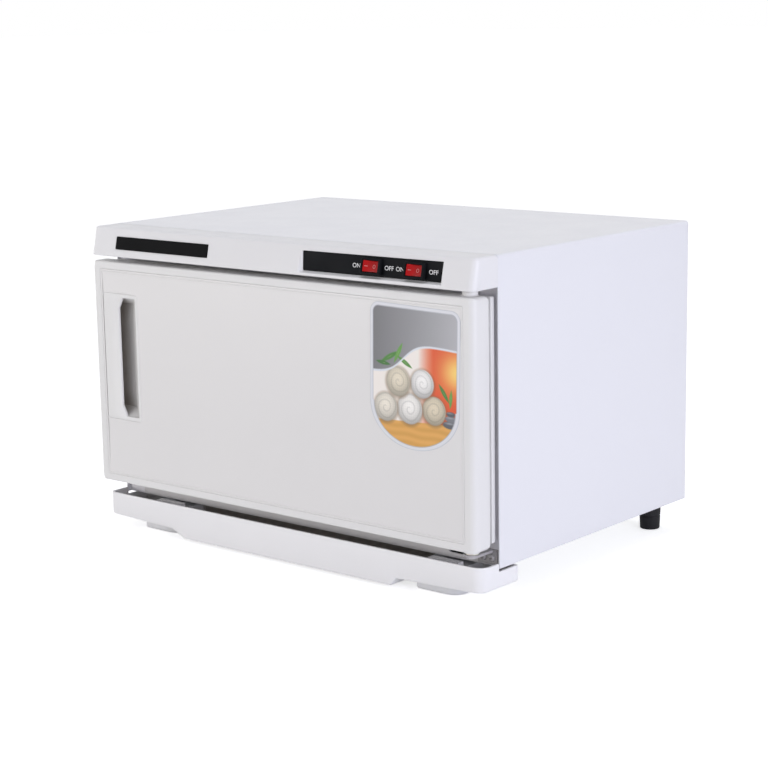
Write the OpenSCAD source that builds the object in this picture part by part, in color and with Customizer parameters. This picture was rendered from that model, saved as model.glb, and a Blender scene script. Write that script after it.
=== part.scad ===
// Towel warmer and steriliser: a painted steel cabinet with a heated chamber,
// a hinged door, two rocker switches in a leaning fascia and a pull-out drip tray.
// Millimetres. X runs to the viewer's right, Y to the back, Z up.
// The origin is the centre of the footprint, on the surface it stands on.

/* [Cabinet] */
// Width across the sheet wrap
cab_w = 450; // [420:1:560]
// Depth of the sheet wrap
cab_d = 292.4; // [286:0.1:380]
// Height of the sheet wrap
cab_h = 261.6; // [258:0.1:330]
// Clear height under the wrap
ground_clear = 29.6; // [28.6:0.1:45]
// Thickness of the painted steel sheet
sheet_t = 1; // [0.6:0.1:1.6]
// Outer radius of the two top bends
bend_r = 3; // [2:0.1:8]
// Width of the flanges folded inward at the bottom and the back
flange_w = 12; // [9:0.5:16]
// How far the back panel lies inside the wrap's rear edge
back_set = 2; // [1.9:0.1:6]
// Distance between the back panel's screws along the top
screw_pitch = 135; // [60:1:190]
// Distance between the back panel's screws up each side
screw_rise = 96; // [50:1:100]
// Width of one vent slot in the back panel
vent_w = 56; // [30:1:80]
// Distance between the vent slots
vent_pitch = 8; // [6:0.5:12]

/* [Front frame] */
// How far the frame lies behind the wrap's front edge
frame_set = 4; // [3:0.1:8]
// Thickness of the frame
frame_t = 2; // [1.5:0.1:3]
// Visible width of each side upright
upright_w = 20.8; // [18:0.1:24]
// Depth of the upright's fold along the wrap
upright_fold = 14; // [8:0.5:24]
// Length of the adjusting slot beside the lower hinge
slot_len = 16; // [12:0.5:18]
// Height of the adjusting slot
slot_h = 4.4; // [3:0.1:5]

/* [Chamber] */
// Room between the heated chamber and the wrap at each side
chamber_side = 40; // [39:0.5:55]
// Room between the chamber's ceiling and the wrap's top
chamber_above = 49.6; // [49:0.1:60]
// Room between the chamber's back and the wrap's rear edge
chamber_behind = 42.4; // [40:0.1:60]
// Height of the chamber's floor above the wrap's bottom
chamber_z = 38; // [37:0.5:38]
// Thickness of the liner's sheet
liner_t = 0.8; // [0.5:0.1:1.2]
// Width of the liner's front lip
lip_w = 6; // [4:0.5:8]
// Thickness of the fibre blanket
blanket_t = 13; // [9:0.5:13]

/* [Fascia] */
// Height of the fascia
fascia_h = 26.6; // [25:0.1:32]
// How far its lower edge stands ahead of the wrap
fascia_over = 33.6; // [32:0.1:38]
// How far its face leans back, in degrees
fascia_lean = 12.9; // [8:0.1:15]
// Wall of the fascia moulding
fascia_wall = 2.4; // [2:0.1:3]
// Radius of the fascia's and the door's upright front corners
corner_r = 6; // [4:0.1:9]
// Width of the bare black badge
badge_w = 119; // [80:1:140]
// Height of the badge
badge_h = 11; // [8:0.5:14]
// Distance of the badge's middle from the fascia's left end
badge_in = 93; // [85:1:115]
// Width of the switch label
label_w = 150; // [130:1:160]
// Height of the switch label
label_h = 16.8; // [15.5:0.1:18]
// Distance of the label's middle from the fascia's right end
label_in = 107.7; // [105:0.1:125]
// Thickness of badge and label
plate_t = 0.8; // [0.5:0.1:1.2]

/* [Rocker switches] */
// Distance of the first rocker from the label's middle
rocker_off = 0.3; // [-4:0.1:2]
// Distance between the two rockers
rocker_pitch = 46.2; // [40:0.1:48]
// Width of a switch bezel
bezel_w = 21.4; // [20.4:0.1:23]
// Height of a switch bezel
bezel_h = 13.4; // [12.6:0.1:14.5]
// Length of a rocker
rocker_l = 16.8; // [15:0.1:17.4]
// Height of a rocker
rocker_h = 9.4; // [8:0.1:9.8]
// Angle between on and off
rocker_swing = 22; // [16:1:24]
// Diameter of the rocker's pivot
rocker_pin_d = 2.4; // [2:0.1:3]
// Depth of the switch body behind the fascia's face
switch_depth = 19; // [17:0.5:20]

/* [Door] */
// How far the door's face stands ahead of the wrap
door_front = 32.5; // [31:0.1:36]
// Depth of the outer door shell
shell_depth = 20.5; // [19:0.1:22]
// Height of the door's lower edge above the wrap's bottom
door_lift = 19.2; // [18.5:0.1:20]
// Gap between the door and the fascia
door_gap = 5; // [4.5:0.1:7]
// Wall of the door shell
door_wall = 3; // [2.4:0.1:3.6]
// Radius of the door's upper and lower front edges
edge_r = 2.5; // [1.5:0.1:4]
// Radius of the shell's rear corners, seen from the side
rear_r = 5; // [3:0.1:6]
// Border left of and right of the face panel
panel_side = 11; // [9:0.1:12]
// Border above and below the face panel
panel_edge = 7; // [6:0.1:9]
// Thickness of the face panel
panel_t = 0.8; // [0.6:0.1:1.2]
// Inset of the inner pan from the door's edges
pan_inset = 9; // [8.8:0.1:11]
// Wall of the inner pan
pan_t = 2; // [1.5:0.1:2.5]
// Distance of the pan's rear face behind the wrap's front edge
pan_back = 0.5; // [0.2:0.1:0.9]
// Width of the door gasket
gasket_w = 7.5; // [5:0.1:7.5]

/* [Handle] */
// Distance of the handle's middle from the door's left edge
handle_in = 36.8; // [36:0.1:60]
// Width of the handle insert
handle_w = 45.5; // [43:0.1:48]
// Height of the handle insert
handle_h = 119.5; // [100:0.5:140]
// Height of the handle's middle above the door's lower edge
handle_z = 121.6; // [100:0.1:125]
// Depth of the finger pocket
pocket_depth = 14; // [11:0.1:15]
// Width of the slot that the fingers enter
slot_w = 22.2; // [20:0.1:24]
// Margin around the slot
slot_margin = 3.6; // [3:0.1:4.5]
// Thickness of the grip plate
grip_t = 2.4; // [2:0.1:3]

/* [Door label] */
// Width of the door label
sticker_w = 94.5; // [80:0.5:100]
// Height of the door label
sticker_h = 120.8; // [100:0.1:140]
// Height of its half-ellipse foot
sticker_foot = 32.5; // [25:0.5:45]
// Distance of its middle from the door's right edge
sticker_in = 60.7; // [60:0.1:80]
// Distance of its top from the door's top
sticker_drop = 10.5; // [10:0.1:20]
// Thickness of the label
sticker_t = 0.25; // [0.2:0.05:0.4]

/* [Hinge] */
// Distance of the hinge axis from the door's right edge
hinge_in = 14.5; // [14:0.1:15.5]
// Distance of the hinge axis behind the door's face
hinge_back = 14.5; // [14:0.1:15]
// Diameter of the door's hinge bosses
boss_d = 13; // [12:0.1:13.4]
// How far the bosses stand out of the door
boss_out = 3.4; // [2.5:0.1:3.6]
// Depth of the bush in the door
bush_depth = 14; // [10:0.5:16]
// Outside diameter of the bush
bush_d = 9; // [8:0.1:9.4]
// Diameter of the hinge pins
pin_d = 5; // [4:0.1:6]
// Thickness of the hinge brackets
bracket_t = 2; // [1.5:0.1:2.2]
// Width of a hinge bracket
bracket_w = 20; // [18:0.5:22]
// Thickness of the hinge washers
washer_t = 0.9; // [0.6:0.1:1]

/* [Drip tray] */
// How far the tray's face stands ahead of the wrap
tray_front = 22.5; // [20:0.1:26]
// How far the tray reaches behind the wrap's front edge
tray_back = 26.5; // [20:0.1:30]
// Height of the tray's front wall above the wrap's bottom
tray_rise = 4.4; // [3:0.1:8]
// Drop of the tray's outer ends below the wrap's bottom
tray_end_drop = 17.2; // [15:0.1:18]
// Drop of the tray's ends beside the middle well
tray_mid_drop = 19.7; // [18:0.1:20]
// Drop of the middle well
tray_well_drop = 27.8; // [25:0.1:28]
// Length of each shallow end of the tray, beside the well
tray_end_w = 86.7; // [85:0.1:115]
// Sideways run of the well's slanted ends
well_slant = 10; // [6:0.1:14]
// Radius of the tray's front corners
tray_r = 12; // [8:0.1:16]
// Wall of the tray
tray_wall = 2.2; // [1.8:0.1:2.6]

/* [Feet] */
// Distance of the front foot's middle from the wrap's side
front_foot_in = 58; // [53:0.5:59]
// Width of the front foot
front_foot_w = 50; // [44:0.5:51]
// How far the front foot's toe stands ahead of the wrap
toe_front = 9; // [5:0.1:14]
// Length of the front foot
front_foot_d = 60; // [52:0.5:70]
// Distance of the rear foot's middle from the wrap's side
rear_foot_side = 28; // [25:0.5:45]
// Distance of the rear foot's middle from the wrap's rear edge
rear_foot_in = 16.4; // [14:0.1:30]
// Diameter of the rear foot at its top
rear_foot_d = 21; // [18:0.1:24]
// Diameter of the rear foot at the floor
rear_foot_low_d = 18.6; // [15:0.1:20]

/* [Steriliser lamp] */
// Length of the lamp between its end faces
lamp_l = 288; // [210:1:300]
// Diameter of the lamp's glass
lamp_d = 15.5; // [15:0.1:16]
// Distance of the lamp's middle from the chamber's back
lamp_in = 21; // [17:0.1:24]
// Distance of the lamp's middle below the chamber's ceiling
lamp_drop = 16; // [14:0.1:20]
// Radius of the guard's hoops
guard_r = 42; // [40:0.5:50]
// Diameter of the guard's wire
guard_wire = 2.2; // [1.6:0.1:3]
// How far the guard reaches past each end of the lamp
guard_end = 20; // [15:1:30]
// Number of guard hoops
guard_count = 9; // [3:2:11]

/* [Towel rack] */
// Diameter of the rack's rim wire
rim_wire = 4; // [3:0.1:5]
// Diameter of the rack's cross wires
cross_wire = 2.5; // [2:0.1:3]
// Number of cross wires
cross_count = 19; // [9:2:25]
// Height of the rack's feet
rack_lift = 8; // [5:0.5:12]
// Gap between the rack and the chamber's walls
rack_gap = 6; // [3:0.5:12]

/* [Electrics] */
// Width of the heater plate
heater_w = 300; // [200:1:330]
// Depth of the heater plate
heater_d = 180; // [120:1:200]
// Thickness of the heater plate
heater_t = 3; // [2:0.1:4]
// Diameter of the thermostat's can
thermostat_d = 16; // [14:0.5:18]
// Diameter of the thermal fuse
fuse_d = 4.4; // [4:0.1:5]
// Bore of the mains cable gland
gland_bore = 7.2; // [6:0.1:8]
// Diameter of the gland's body
gland_d = 15.6; // [13:0.1:18]
// Length of the gland inside the back panel
gland_l = 12; // [8:0.5:16]
// Travel of the door interlock's plunger
plunger_travel = 3; // [2:0.1:4]
// Diameter of the plunger
plunger_d = 5; // [4:0.1:6]

/* [Fits] */
// Gap between neighbouring pieces that only lie beside each other
gap = 0.3; // [0.2:0.05:0.4]
// Radial clearance of pins that turn
running = 0.05; // [0.02:0.01:0.08]

/* [Hidden] */

$fn = 48;
cut = 0.5;
inside_x = cab_w / 2 - sheet_t - gap / 2;
chamber_w = cab_w - 2 * chamber_side;
chamber_h = cab_h - chamber_z - chamber_above;
badge_x = cab_w / 2 - badge_in;
label_x = cab_w / 2 - label_in;
rocker_x = label_x + rocker_off;
front_foot_x = cab_w / 2 - front_foot_in;
rear_foot_x = cab_w / 2 - rear_foot_side;
well_half = cab_w / 2 - tray_end_w;
fascia_z = cab_h - fascia_h;
door_top = fascia_z - door_gap;
door_h = door_top - door_lift;
shell_back = shell_depth - door_front;
frame_back = frame_set + frame_t;
chamber_top = chamber_z + chamber_h;
chamber_back = cab_d - chamber_behind;
chamber_d = chamber_back - frame_back;
base_z = sheet_t;
base_top = base_z + sheet_t;
back_y = cab_d - back_set;
hinge_x = cab_w / 2 - hinge_in;
hinge_y = hinge_back - door_front;
hinge_boss_r = boss_d / 2;
handle_x = handle_in - cab_w / 2;
handle_mid = door_lift + handle_z;
handle_left = handle_x - handle_w / 2;
slot_right = handle_x + handle_w / 2 - slot_margin + 0.6;
slot_left = slot_right - slot_w;
slot_half = handle_h / 2 - slot_margin;
shelf_z = chamber_top + liner_t + gap + blanket_t + gap;
seat_z = -tray_mid_drop - gap;
plunger_x = -(chamber_w / 2 + lip_w + 4);
plunger_z = chamber_z + chamber_h / 2;
catch_x = -(chamber_w / 2 + 10);
catch_spread = 57;
strike_t = 1;
catch_w = 10;
catch_h = 40;
screw_r = 1.6;
head_r = 3.2;
head_t = 1.8;
back_screw_l = 6;

// The pivot lies this far behind the leaning face, and the rocker's dished middle this far ahead
rocker_pivot = 4.2;
rocker_rise = rocker_pivot + 0.9;
// Half length and reach of a rocker's tip from its pivot, before it tilts
tip_x = rocker_l / 2 - 0.8;
tip_y = rocker_rise + tip_x * tan(rocker_swing / 2);
tip_turn = atan(tip_x / tip_y);
tip_r = norm([tip_x, tip_y]);
bezel_t = 1.2;
body_half_l = bezel_w / 2 - 1.4;
body_half_h = bezel_h / 2 - 0.7;

// A rocker's proud tip, at its lower corner, is what reaches furthest forward
slope_mid = fascia_h / cos(fascia_lean) / 2 - 0.4;
rocker_proud = tip_r * cos(tip_turn - rocker_swing / 2) - rocker_pivot;
front_reach = max(fascia_over, fascia_over + rocker_proud * cos(fascia_lean)
    - (slope_mid - rocker_h / 2) * sin(fascia_lean));
wrap_y = (front_reach - cab_d) / 2;

// Everything below is drawn from the wrap's front lower edge, on the centre line
module at_cabinet() {
    translate([0, wrap_y, ground_clear]) children();
}

// Block from one corner to the other
module span(lo, hi) {
    translate(lo) cube(hi - lo);
}

// Extrude a drawing in X and Z backwards along Y, from y0 to y1
module along_y(y0, y1) {
    translate([0, y1, 0]) rotate([90, 0, 0]) linear_extrude(y1 - y0) children();
}

// Extrude a drawing in Y and Z along X, from x0 to x1
module along_x(x0, x1) {
    translate([x0, 0, 0]) rotate([90, 0, 90]) linear_extrude(x1 - x0) children();
}

// Rectangle with a radius for each corner: low left, low right, high right, high left
module round_rect(x0, x1, y0, y1, r) {
    corners = [[x0, y0, 1, 1], [x1, y0, -1, 1], [x1, y1, -1, -1], [x0, y1, 1, -1]];
    difference() {
        translate([x0, y0]) square([x1 - x0, y1 - y0]);
        for (i = [0:3]) if (r[i] > 0) {
            c = corners[i];
            translate([c[0], c[1]]) difference() {
                translate([-cut * (1 + c[2]) / 2 - (1 - c[2]) / 2 * r[i],
                        -cut * (1 + c[3]) / 2 - (1 - c[3]) / 2 * r[i]])
                    square(r[i] + cut);
                translate([c[2] * r[i], c[3] * r[i]]) circle(r[i]);
            }
        }
    }
}

// Points of an arc about c, from angle a0 to a1
function arc(c, r, a0, a1, n) =
    [for (i = [0:n]) let (a = a0 + (a1 - a0) * i / n) [c[0] + r * cos(a), c[1] + r * sin(a)]];

// Pan-head screw seated at y = 0: its head faces -Y where facing is 1, +Y where it is -1
module screw_out(length, facing) {
    rotate([facing * 90, 0, 0]) {
        cylinder(r = head_r, h = head_t);
        translate([0, 0, -length]) cylinder(r = screw_r, h = length);
    }
}

module wrap_profile(inset) {
    round_rect(-cab_w / 2 + inset, cab_w / 2 - inset, inset, cab_h - inset,
        [0, 0, max(bend_r - inset, 0.5), max(bend_r - inset, 0.5)]);
}

// Top and both sides in one folded sheet, with flanges turned in below and behind
module housing_wrap() color("white") at_cabinet() {
    flange_y = back_y - 2 * sheet_t;
    difference() {
        along_y(0, cab_d) wrap_profile(0);
        along_y(-cut, cab_d + cut) wrap_profile(sheet_t);
        span([flange_w - cab_w / 2, -cut, -cut],
            [cab_w / 2 - flange_w, cab_d + cut, sheet_t + cut]);
        span([sheet_t - cab_w / 2, -cut, -cut],
            [cab_w / 2 - sheet_t, frame_back + gap, sheet_t + cut]);
    }
    difference() {
        along_y(flange_y, flange_y + sheet_t) difference() {
            wrap_profile(sheet_t / 2);
            translate([flange_w - cab_w / 2, -cut])
                square([cab_w - 2 * flange_w, cab_h - flange_w + cut]);
        }
        back_screw_places() translate([0, flange_y, 0]) rotate([-90, 0, 0])
            translate([0, 0, -cut]) cylinder(r = screw_r + running, h = sheet_t + 2 * cut);
    }
}

// The back panel's screws: three up each side and three along the top
module back_screw_places() {
    side = cab_w / 2 - (flange_w + sheet_t) / 2;
    high = cab_h - (flange_w + sheet_t) / 2;
    for (s = [-1, 1]) for (i = [0:2]) translate([s * side, 0, high - 25 - i * screw_rise]) children();
    for (i = [-1:1]) translate([i * screw_pitch, 0, high]) children();
}

module base_plate() color("gainsboro") at_cabinet() {
    difference() {
        span([-inside_x, frame_back + gap, base_z], [inside_x, back_y - 3 * sheet_t, base_top]);
        for (s = [-1, 1]) {
            translate([s * rear_foot_x, cab_d - rear_foot_in, 0])
                cylinder(r = screw_r + gap, h = 3 * sheet_t);
            translate([s * front_foot_x, foot_screw_y(), 0])
                cylinder(r = screw_r + gap, h = 3 * sheet_t);
        }
        for (i = [-4:4]) translate([i * 22 - 2.5, base_slot_y, 0]) cube([5, 40, 3 * sheet_t]);
    }
}

// Where the vent slots in the base begin, and where the front feet are screwed on
base_slot_y = 130;
function foot_screw_y() = front_foot_d - toe_front - 12;

module vent_group(x, z, rows) {
    for (i = [0:rows - 1]) translate([x, 0, z - i * vent_pitch])
        along_y(back_y - 2 * sheet_t, back_y + cut)
            round_rect(-vent_w / 2, vent_w / 2, -1.9, 1.9, [1.8, 1.8, 1.8, 1.8]);
}

// Middles of the two upper vent groups, and how far below the top and above the bottom vents begin
vent_x = 110;
vent_drop = 33.6;
vent_low = 62;
gland_x = -cab_w / 2 + 62;
gland_z = 34;

module back_panel() color("whitesmoke") at_cabinet() {
    difference() {
        along_y(back_y - sheet_t, back_y) round_rect(-inside_x, inside_x, sheet_t + gap / 2,
            cab_h - sheet_t - gap / 2, [0, 0, bend_r, bend_r]);
        for (s = [-1, 1]) vent_group(s * vent_x, cab_h - vent_drop, 7);
        vent_group(0, vent_low, 5);
        translate([gland_x, back_y, gland_z]) rotate([90, 0, 0])
            translate([0, 0, -cut]) cylinder(r = gland_d / 2 + running, h = sheet_t + 2 * cut);
        back_screw_places() translate([0, back_y, 0]) rotate([90, 0, 0])
            translate([0, 0, -cut]) cylinder(r = screw_r + gap, h = sheet_t + 2 * cut);
    }
}

upright_x = cab_w / 2 - upright_w;

module front_frame() color("silver") at_cabinet() {
    half = upright_x - gap / 2;
    difference() {
        span([-half, frame_set, gap], [half, frame_back, cab_h - sheet_t - gap]);
        span([-chamber_w / 2, 0, chamber_z], [chamber_w / 2, frame_back + cut, chamber_top]);
        translate([plunger_x, frame_set - cut, plunger_z]) rotate([-90, 0, 0])
            cylinder(r = plunger_d / 2 + running, h = frame_t + 2 * cut);
        translate([slot_x(), 0, slot_z()]) along_y(frame_set - cut, frame_back + cut)
            round_rect(-slot_len / 2, slot_len / 2, -slot_h / 2, slot_h / 2,
                [for (i = [0:3]) slot_h / 2 - 0.1]);
    }
}

function slot_x() = hinge_x - boss_d / 2 - slot_len / 2 - 19;
function slot_z() = 6.6;

module upright(side) {
    x0 = upright_x + gap / 2;
    mirror([side < 0 ? 1 : 0, 0, 0]) {
        span([x0, frame_set, gap], [inside_x, frame_back, cab_h - bend_r - sheet_t]);
        span([inside_x - sheet_t, frame_back, base_top + gap],
            [inside_x, frame_back + upright_fold, cab_h - bend_r - sheet_t]);
    }
}

module left_upright() color("silver") at_cabinet() upright(-1);

module right_upright() color("silver") at_cabinet() difference() {
    upright(1);
    lower_bracket_screws() rotate([-90, 0, 0]) cylinder(r = screw_r + running, h = 12);
    upper_bracket_screws() rotate([-90, 0, 0]) cylinder(r = screw_r + running, h = 12);
}

module chamber_liner() color("lightsteelblue") at_cabinet() {
    outer = chamber_w / 2 + liner_t;
    difference() {
        union() {
            span([-outer, frame_back, chamber_z - liner_t],
                [outer, chamber_back + liner_t, chamber_top + liner_t]);
            span([-outer - lip_w, frame_back, chamber_z - liner_t - lip_w],
                [outer + lip_w, frame_back + liner_t, chamber_top + liner_t + lip_w]);
        }
        span([-chamber_w / 2, 0, chamber_z], [chamber_w / 2, chamber_back, chamber_top]);
    }
}

module insulation() color("khaki") at_cabinet() {
    inner = chamber_w / 2 + liner_t + gap;
    low = chamber_z - liner_t - gap;
    high = chamber_top + liner_t + gap;
    rear = chamber_back + liner_t + gap;
    front = frame_back + liner_t + gap;
    difference() {
        span([-inner - blanket_t, front, low - heater_t - blanket_t],
            [inner + blanket_t, rear + blanket_t, high + blanket_t]);
        span([-inner, front - cut, low], [inner, rear, high]);
        heater_box(gap, heater_t + gap);
        thermostat_place() translate([0, 0, -blanket_t - cut])
            cylinder(r = thermostat_d / 2 + 4, h = blanket_t + 2 * cut);
        fuse_place() span([-fuse_reach / 2 - 1, -5, -8], [fuse_reach / 2 + 1, 5, cut]);
        span([plunger_x - 8, 0, plunger_z - 16], [-inner + cut, frame_back + 26, plunger_z + 16]);
    }
}

// The heater plate lies face to face with the liner's underside
module heater_box(grow, thick) {
    y_mid = frame_back + chamber_d / 2;
    top = chamber_z - liner_t;
    span([-heater_w / 2 - grow, y_mid - heater_d / 2 - grow, top - thick],
        [heater_w / 2 + grow, y_mid + heater_d / 2 + grow, top]);
}

module heater_plate() color("silver") at_cabinet() heater_box(0, heater_t);

module thermostat_place() {
    translate([60, frame_back + chamber_d / 2, chamber_z - liner_t - heater_t]) children();
}

module thermostat() color("tan") at_cabinet() thermostat_place() {
    body_h = 6;
    translate([0, 0, -body_h]) cylinder(r = thermostat_d / 2, h = body_h);
    for (s = [-1, 1]) translate([s * 4 - 0.4, -2.4, -body_h - 5]) cube([0.8, 4.8, 5.1]);
}

fuse_l = 14;
fuse_reach = 22;
fuse_lead_r = 0.6;

module fuse_place() {
    translate([-60, frame_back + chamber_d / 2, chamber_z - liner_t - heater_t]) children();
}

module thermal_fuse() color("ivory") at_cabinet() fuse_place() {
    for (c = [[fuse_d / 2, fuse_l], [fuse_lead_r, fuse_reach]])
        translate([-c[1] / 2, 0, -fuse_d / 2]) rotate([0, 90, 0]) cylinder(r = c[0], h = c[1]);
}

// Middles of the shelf's row of vent holes and of the ballast, starter and terminals before it
shelf_hole_y = 200;
component_y = 106;

module component_shelf() color("gainsboro") at_cabinet() {
    y1 = back_y - sheet_t;
    half = chamber_w / 2 - 20;
    lip = 10;
    difference() {
        span([-half, frame_back, shelf_z], [half, y1, shelf_z + lip]);
        span([-half - cut, frame_back + sheet_t, shelf_z + sheet_t],
            [half + cut, y1 - sheet_t, shelf_z + lip + cut]);
        for (i = [-5:5]) translate([i * 24, shelf_hole_y, shelf_z - cut])
            cylinder(r = 3.5, h = sheet_t + 2 * cut);
    }
}

// Fascia outline: a leaning block with rounded upright corners, cut level at the top
module fascia_block(inset) {
    w = cab_w - 2 * inset;
    r = max(corner_r - inset, 1);
    tall = 3 * fascia_h;
    intersection() {
        at_slope() translate([0, 0, -fascia_h]) linear_extrude(tall)
            round_rect(-w / 2, w / 2, inset, 2 * fascia_over, [r, r, 0, 0]);
        along_x(-w / 2, w / 2) round_rect(-2 * fascia_over, inset > 0 ? cut : 0,
            fascia_z + inset, cab_h - inset, [0, 0, 0, 0]);
    }
}

// Places things in the leaning face's own frame: Z runs up the slope from the lower edge
module at_slope() {
    translate([0, -fascia_over, fascia_z]) rotate([-fascia_lean, 0, 0]) children();
}

// Places a drawing on the leaning face: X across, Y up the slope
module on_fascia(depth0, depth1) {
    at_slope() along_y(depth0, depth1) children();
}

module plate_shape(x, w, h, r, grow) {
    round_rect(x - w / 2 - grow, x + w / 2 + grow, slope_mid - h / 2 - grow,
        slope_mid + h / 2 + grow, [r, r, r, r]);
}

module rocker_places() {
    for (i = [0, 1]) translate([rocker_x + i * rocker_pitch, 0]) children();
}

// The switch body's own hole in label and fascia
module switch_hole(grow) {
    round_rect(-body_half_l - grow, body_half_l + grow,
        slope_mid - body_half_h - grow, slope_mid + body_half_h + grow, [0, 0, 0, 0]);
}

module top_fascia() color("white") at_cabinet() {
    difference() {
        union() {
            difference() {
                fascia_block(0);
                fascia_block(fascia_wall);
            }
            // Tongue that enters the wrap behind the seam
            difference() {
                along_y(-fascia_wall, frame_set - gap)
                    round_rect(-inside_x + gap, inside_x - gap, fascia_z + gap,
                        cab_h - sheet_t - gap, [0, 0, bend_r, bend_r]);
                along_y(-2 * fascia_wall, frame_set)
                    round_rect(-inside_x + 3 * gap + 1, inside_x - 3 * gap - 1, fascia_z - cut,
                        cab_h - sheet_t - 3 * gap - 1, [0, 0, 1, 1]);
            }
        }
        on_fascia(-cut, plate_t) plate_shape(label_x, label_w, label_h, 1.2, gap / 2);
        on_fascia(-cut, 0.5 * plate_t) plate_shape(-badge_x, badge_w, badge_h, 1, gap / 2);
        on_fascia(-cut, 3 * fascia_wall) rocker_places() switch_hole(running);
        translate([hinge_x, hinge_y, fascia_z - cut]) cylinder(r = pin_d / 2 + 2 * gap, h = 2 * fascia_wall);
    }
}

module name_badge() color("black") at_cabinet() {
    on_fascia(-0.5 * plate_t, 0.5 * plate_t) plate_shape(-badge_x, badge_w, badge_h, 1, 0);
}

module switch_label() color("black") at_cabinet() {
    difference() {
        on_fascia(0.2, plate_t) plate_shape(label_x, label_w, label_h, 1.2, 0);
        on_fascia(-cut, 2 * plate_t) rocker_places() switch_hole(running);
    }
}

module rocker_frame(i) {
    at_slope() translate([rocker_x + i * rocker_pitch, 0, slope_mid]) children();
}

module switch_body(i) {
    window_l = tip_r * sin(tip_turn + rocker_swing / 2) + gap;
    window_h = rocker_h / 2 + gap;
    rocker_frame(i) {
        difference() {
            union() {
                along_y(-bezel_t, 0.2) round_rect(-bezel_w / 2, bezel_w / 2, -bezel_h / 2,
                    bezel_h / 2, [1, 1, 1, 1]);
                along_y(0, switch_depth) round_rect(-body_half_l, body_half_l,
                    -body_half_h, body_half_h, [0, 0, 0, 0]);
            }
            span([-window_l, -bezel_t - cut, -window_h], [window_l, gap, window_h]);
            span([1.2 - body_half_l, 0, -window_h], [body_half_l - 1.2, rocker_pivot + 6, window_h]);
            translate([0, rocker_pivot, gap / 2 - body_half_h])
                cylinder(r = rocker_pin_d / 2 + running, h = 2 * body_half_h - gap);
        }
        for (s = [-1, 1]) translate([s * 5 - 2.4, switch_depth - 0.1, -0.4]) cube([4.8, 7.1, 0.8]);
    }
}

module heater_switch_body() color("dimgray") at_cabinet() switch_body(0);

module lamp_switch_body() color("dimgray") at_cabinet() switch_body(1);

// Rocker at rest in its off position: the left half stands proud, the right half lies in
module rocker(i) {
    skirt_x = tip_x - 1.8;
    rocker_frame(i) translate([0, rocker_pivot, 0]) {
        translate([0, 0, -rocker_h / 2]) rotate([0, 0, rocker_swing / 2])
            linear_extrude(rocker_h) polygon([[-tip_x, -tip_y], [0, -rocker_rise], [tip_x, -tip_y],
                [skirt_x, -3], [3, 4], [-3, 4], [-skirt_x, -3]]);
        translate([0, 0, gap - body_half_h])
            cylinder(r = rocker_pin_d / 2, h = 2 * (body_half_h - gap));
    }
}

module heater_rocker() color("red") at_cabinet() rocker(0);

module lamp_rocker() color("red") at_cabinet() rocker(1);

// Outline of the door shell, made smaller by inset on every side
module door_block(inset) {
    w = cab_w / 2 - inset;
    r = max(corner_r - inset, 1);
    e = max(edge_r - inset, 0.5);
    b = max(rear_r - inset, 1);
    front = -door_front + inset;
    intersection() {
        translate([0, 0, door_lift + inset]) linear_extrude(door_h - 2 * inset)
            round_rect(-w, w, front, shell_back, [r, r, 0, 0]);
        along_x(-w, w) round_rect(front, shell_back, door_lift + inset, door_top - inset,
            [e, b, b, e]);
    }
}

// Rounded rectangle of the face panel, in X and Z
module panel_shape(grow) {
    round_rect(-cab_w / 2 + panel_side - grow, cab_w / 2 - panel_side + grow,
        door_lift + panel_edge - grow, door_top - panel_edge + grow, [2, 2, 2, 2]);
}

module handle_shape(grow) {
    r = 3 + grow;
    round_rect(handle_left - grow, handle_left + handle_w + grow,
        handle_mid - handle_h / 2 - grow, handle_mid + handle_h / 2 + grow, [r, r, r, r]);
}

module hinge_boss_pair(r, inward, outward) {
    translate([hinge_x, hinge_y, door_top - inward]) cylinder(r = r, h = inward + outward);
    translate([hinge_x, hinge_y, door_lift - outward]) cylinder(r = r, h = inward + outward);
}

module door_shell() color("white") at_cabinet() {
    difference() {
        union() {
            difference() {
                door_block(0);
                intersection() {
                    door_block(door_wall);
                    span([-cab_w, -cab_d, 0], [cab_w, shell_back - 2 * cut, cab_h]);
                }
                along_y(shell_back - 3 * cut, shell_back + cut)
                    round_rect(-cab_w / 2 + door_wall, cab_w / 2 - door_wall,
                        door_lift + door_wall, door_top - door_wall, [2, 2, 2, 2]);
            }
            hinge_boss_pair(hinge_boss_r, bush_depth, boss_out);
        }
        hinge_boss_pair(bush_d / 2 + running, bush_depth + cut, boss_out + cut);
        along_y(-door_front - cut, -door_front + panel_t + 0.1) panel_shape(gap / 2);
        along_y(-door_front - cut, shell_back + cut) handle_shape(gap / 2);
    }
}

module door_face_panel() color("white") at_cabinet() {
    along_y(-door_front, -door_front + panel_t) difference() {
        panel_shape(-gap / 2);
        handle_shape(gap / 2);
    }
}

pan_x = cab_w / 2 - pan_inset;
pan_low = door_lift + pan_inset;
pan_high = door_top - pan_inset;
rim_y = shell_back - 2.2;

module door_inner_pan() color("whitesmoke") at_cabinet() {
    difference() {
        union() {
            along_y(rim_y, rim_y + pan_t) round_rect(-cab_w / 2 + door_wall + gap,
                cab_w / 2 - door_wall - gap, door_lift + door_wall + gap,
                door_top - door_wall - gap, [2, 2, 2, 2]);
            along_y(rim_y, pan_back) round_rect(-pan_x, pan_x, pan_low, pan_high, [3, 3, 3, 3]);
        }
        along_y(rim_y - cut, pan_back - pan_t) round_rect(-pan_x + pan_t, pan_x - pan_t,
            pan_low + pan_t, pan_high - pan_t, [2, 2, 2, 2]);
        hinge_boss_pair(hinge_boss_r + gap, bush_depth + gap, boss_out);
        strike_places() catch_block(pan_back - strike_t, pan_back + cut, gap / 2);
    }
}

module strike_places() {
    for (s = [-1, 1]) translate([catch_x, 0, plunger_z + s * catch_spread]) children();
}

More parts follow.
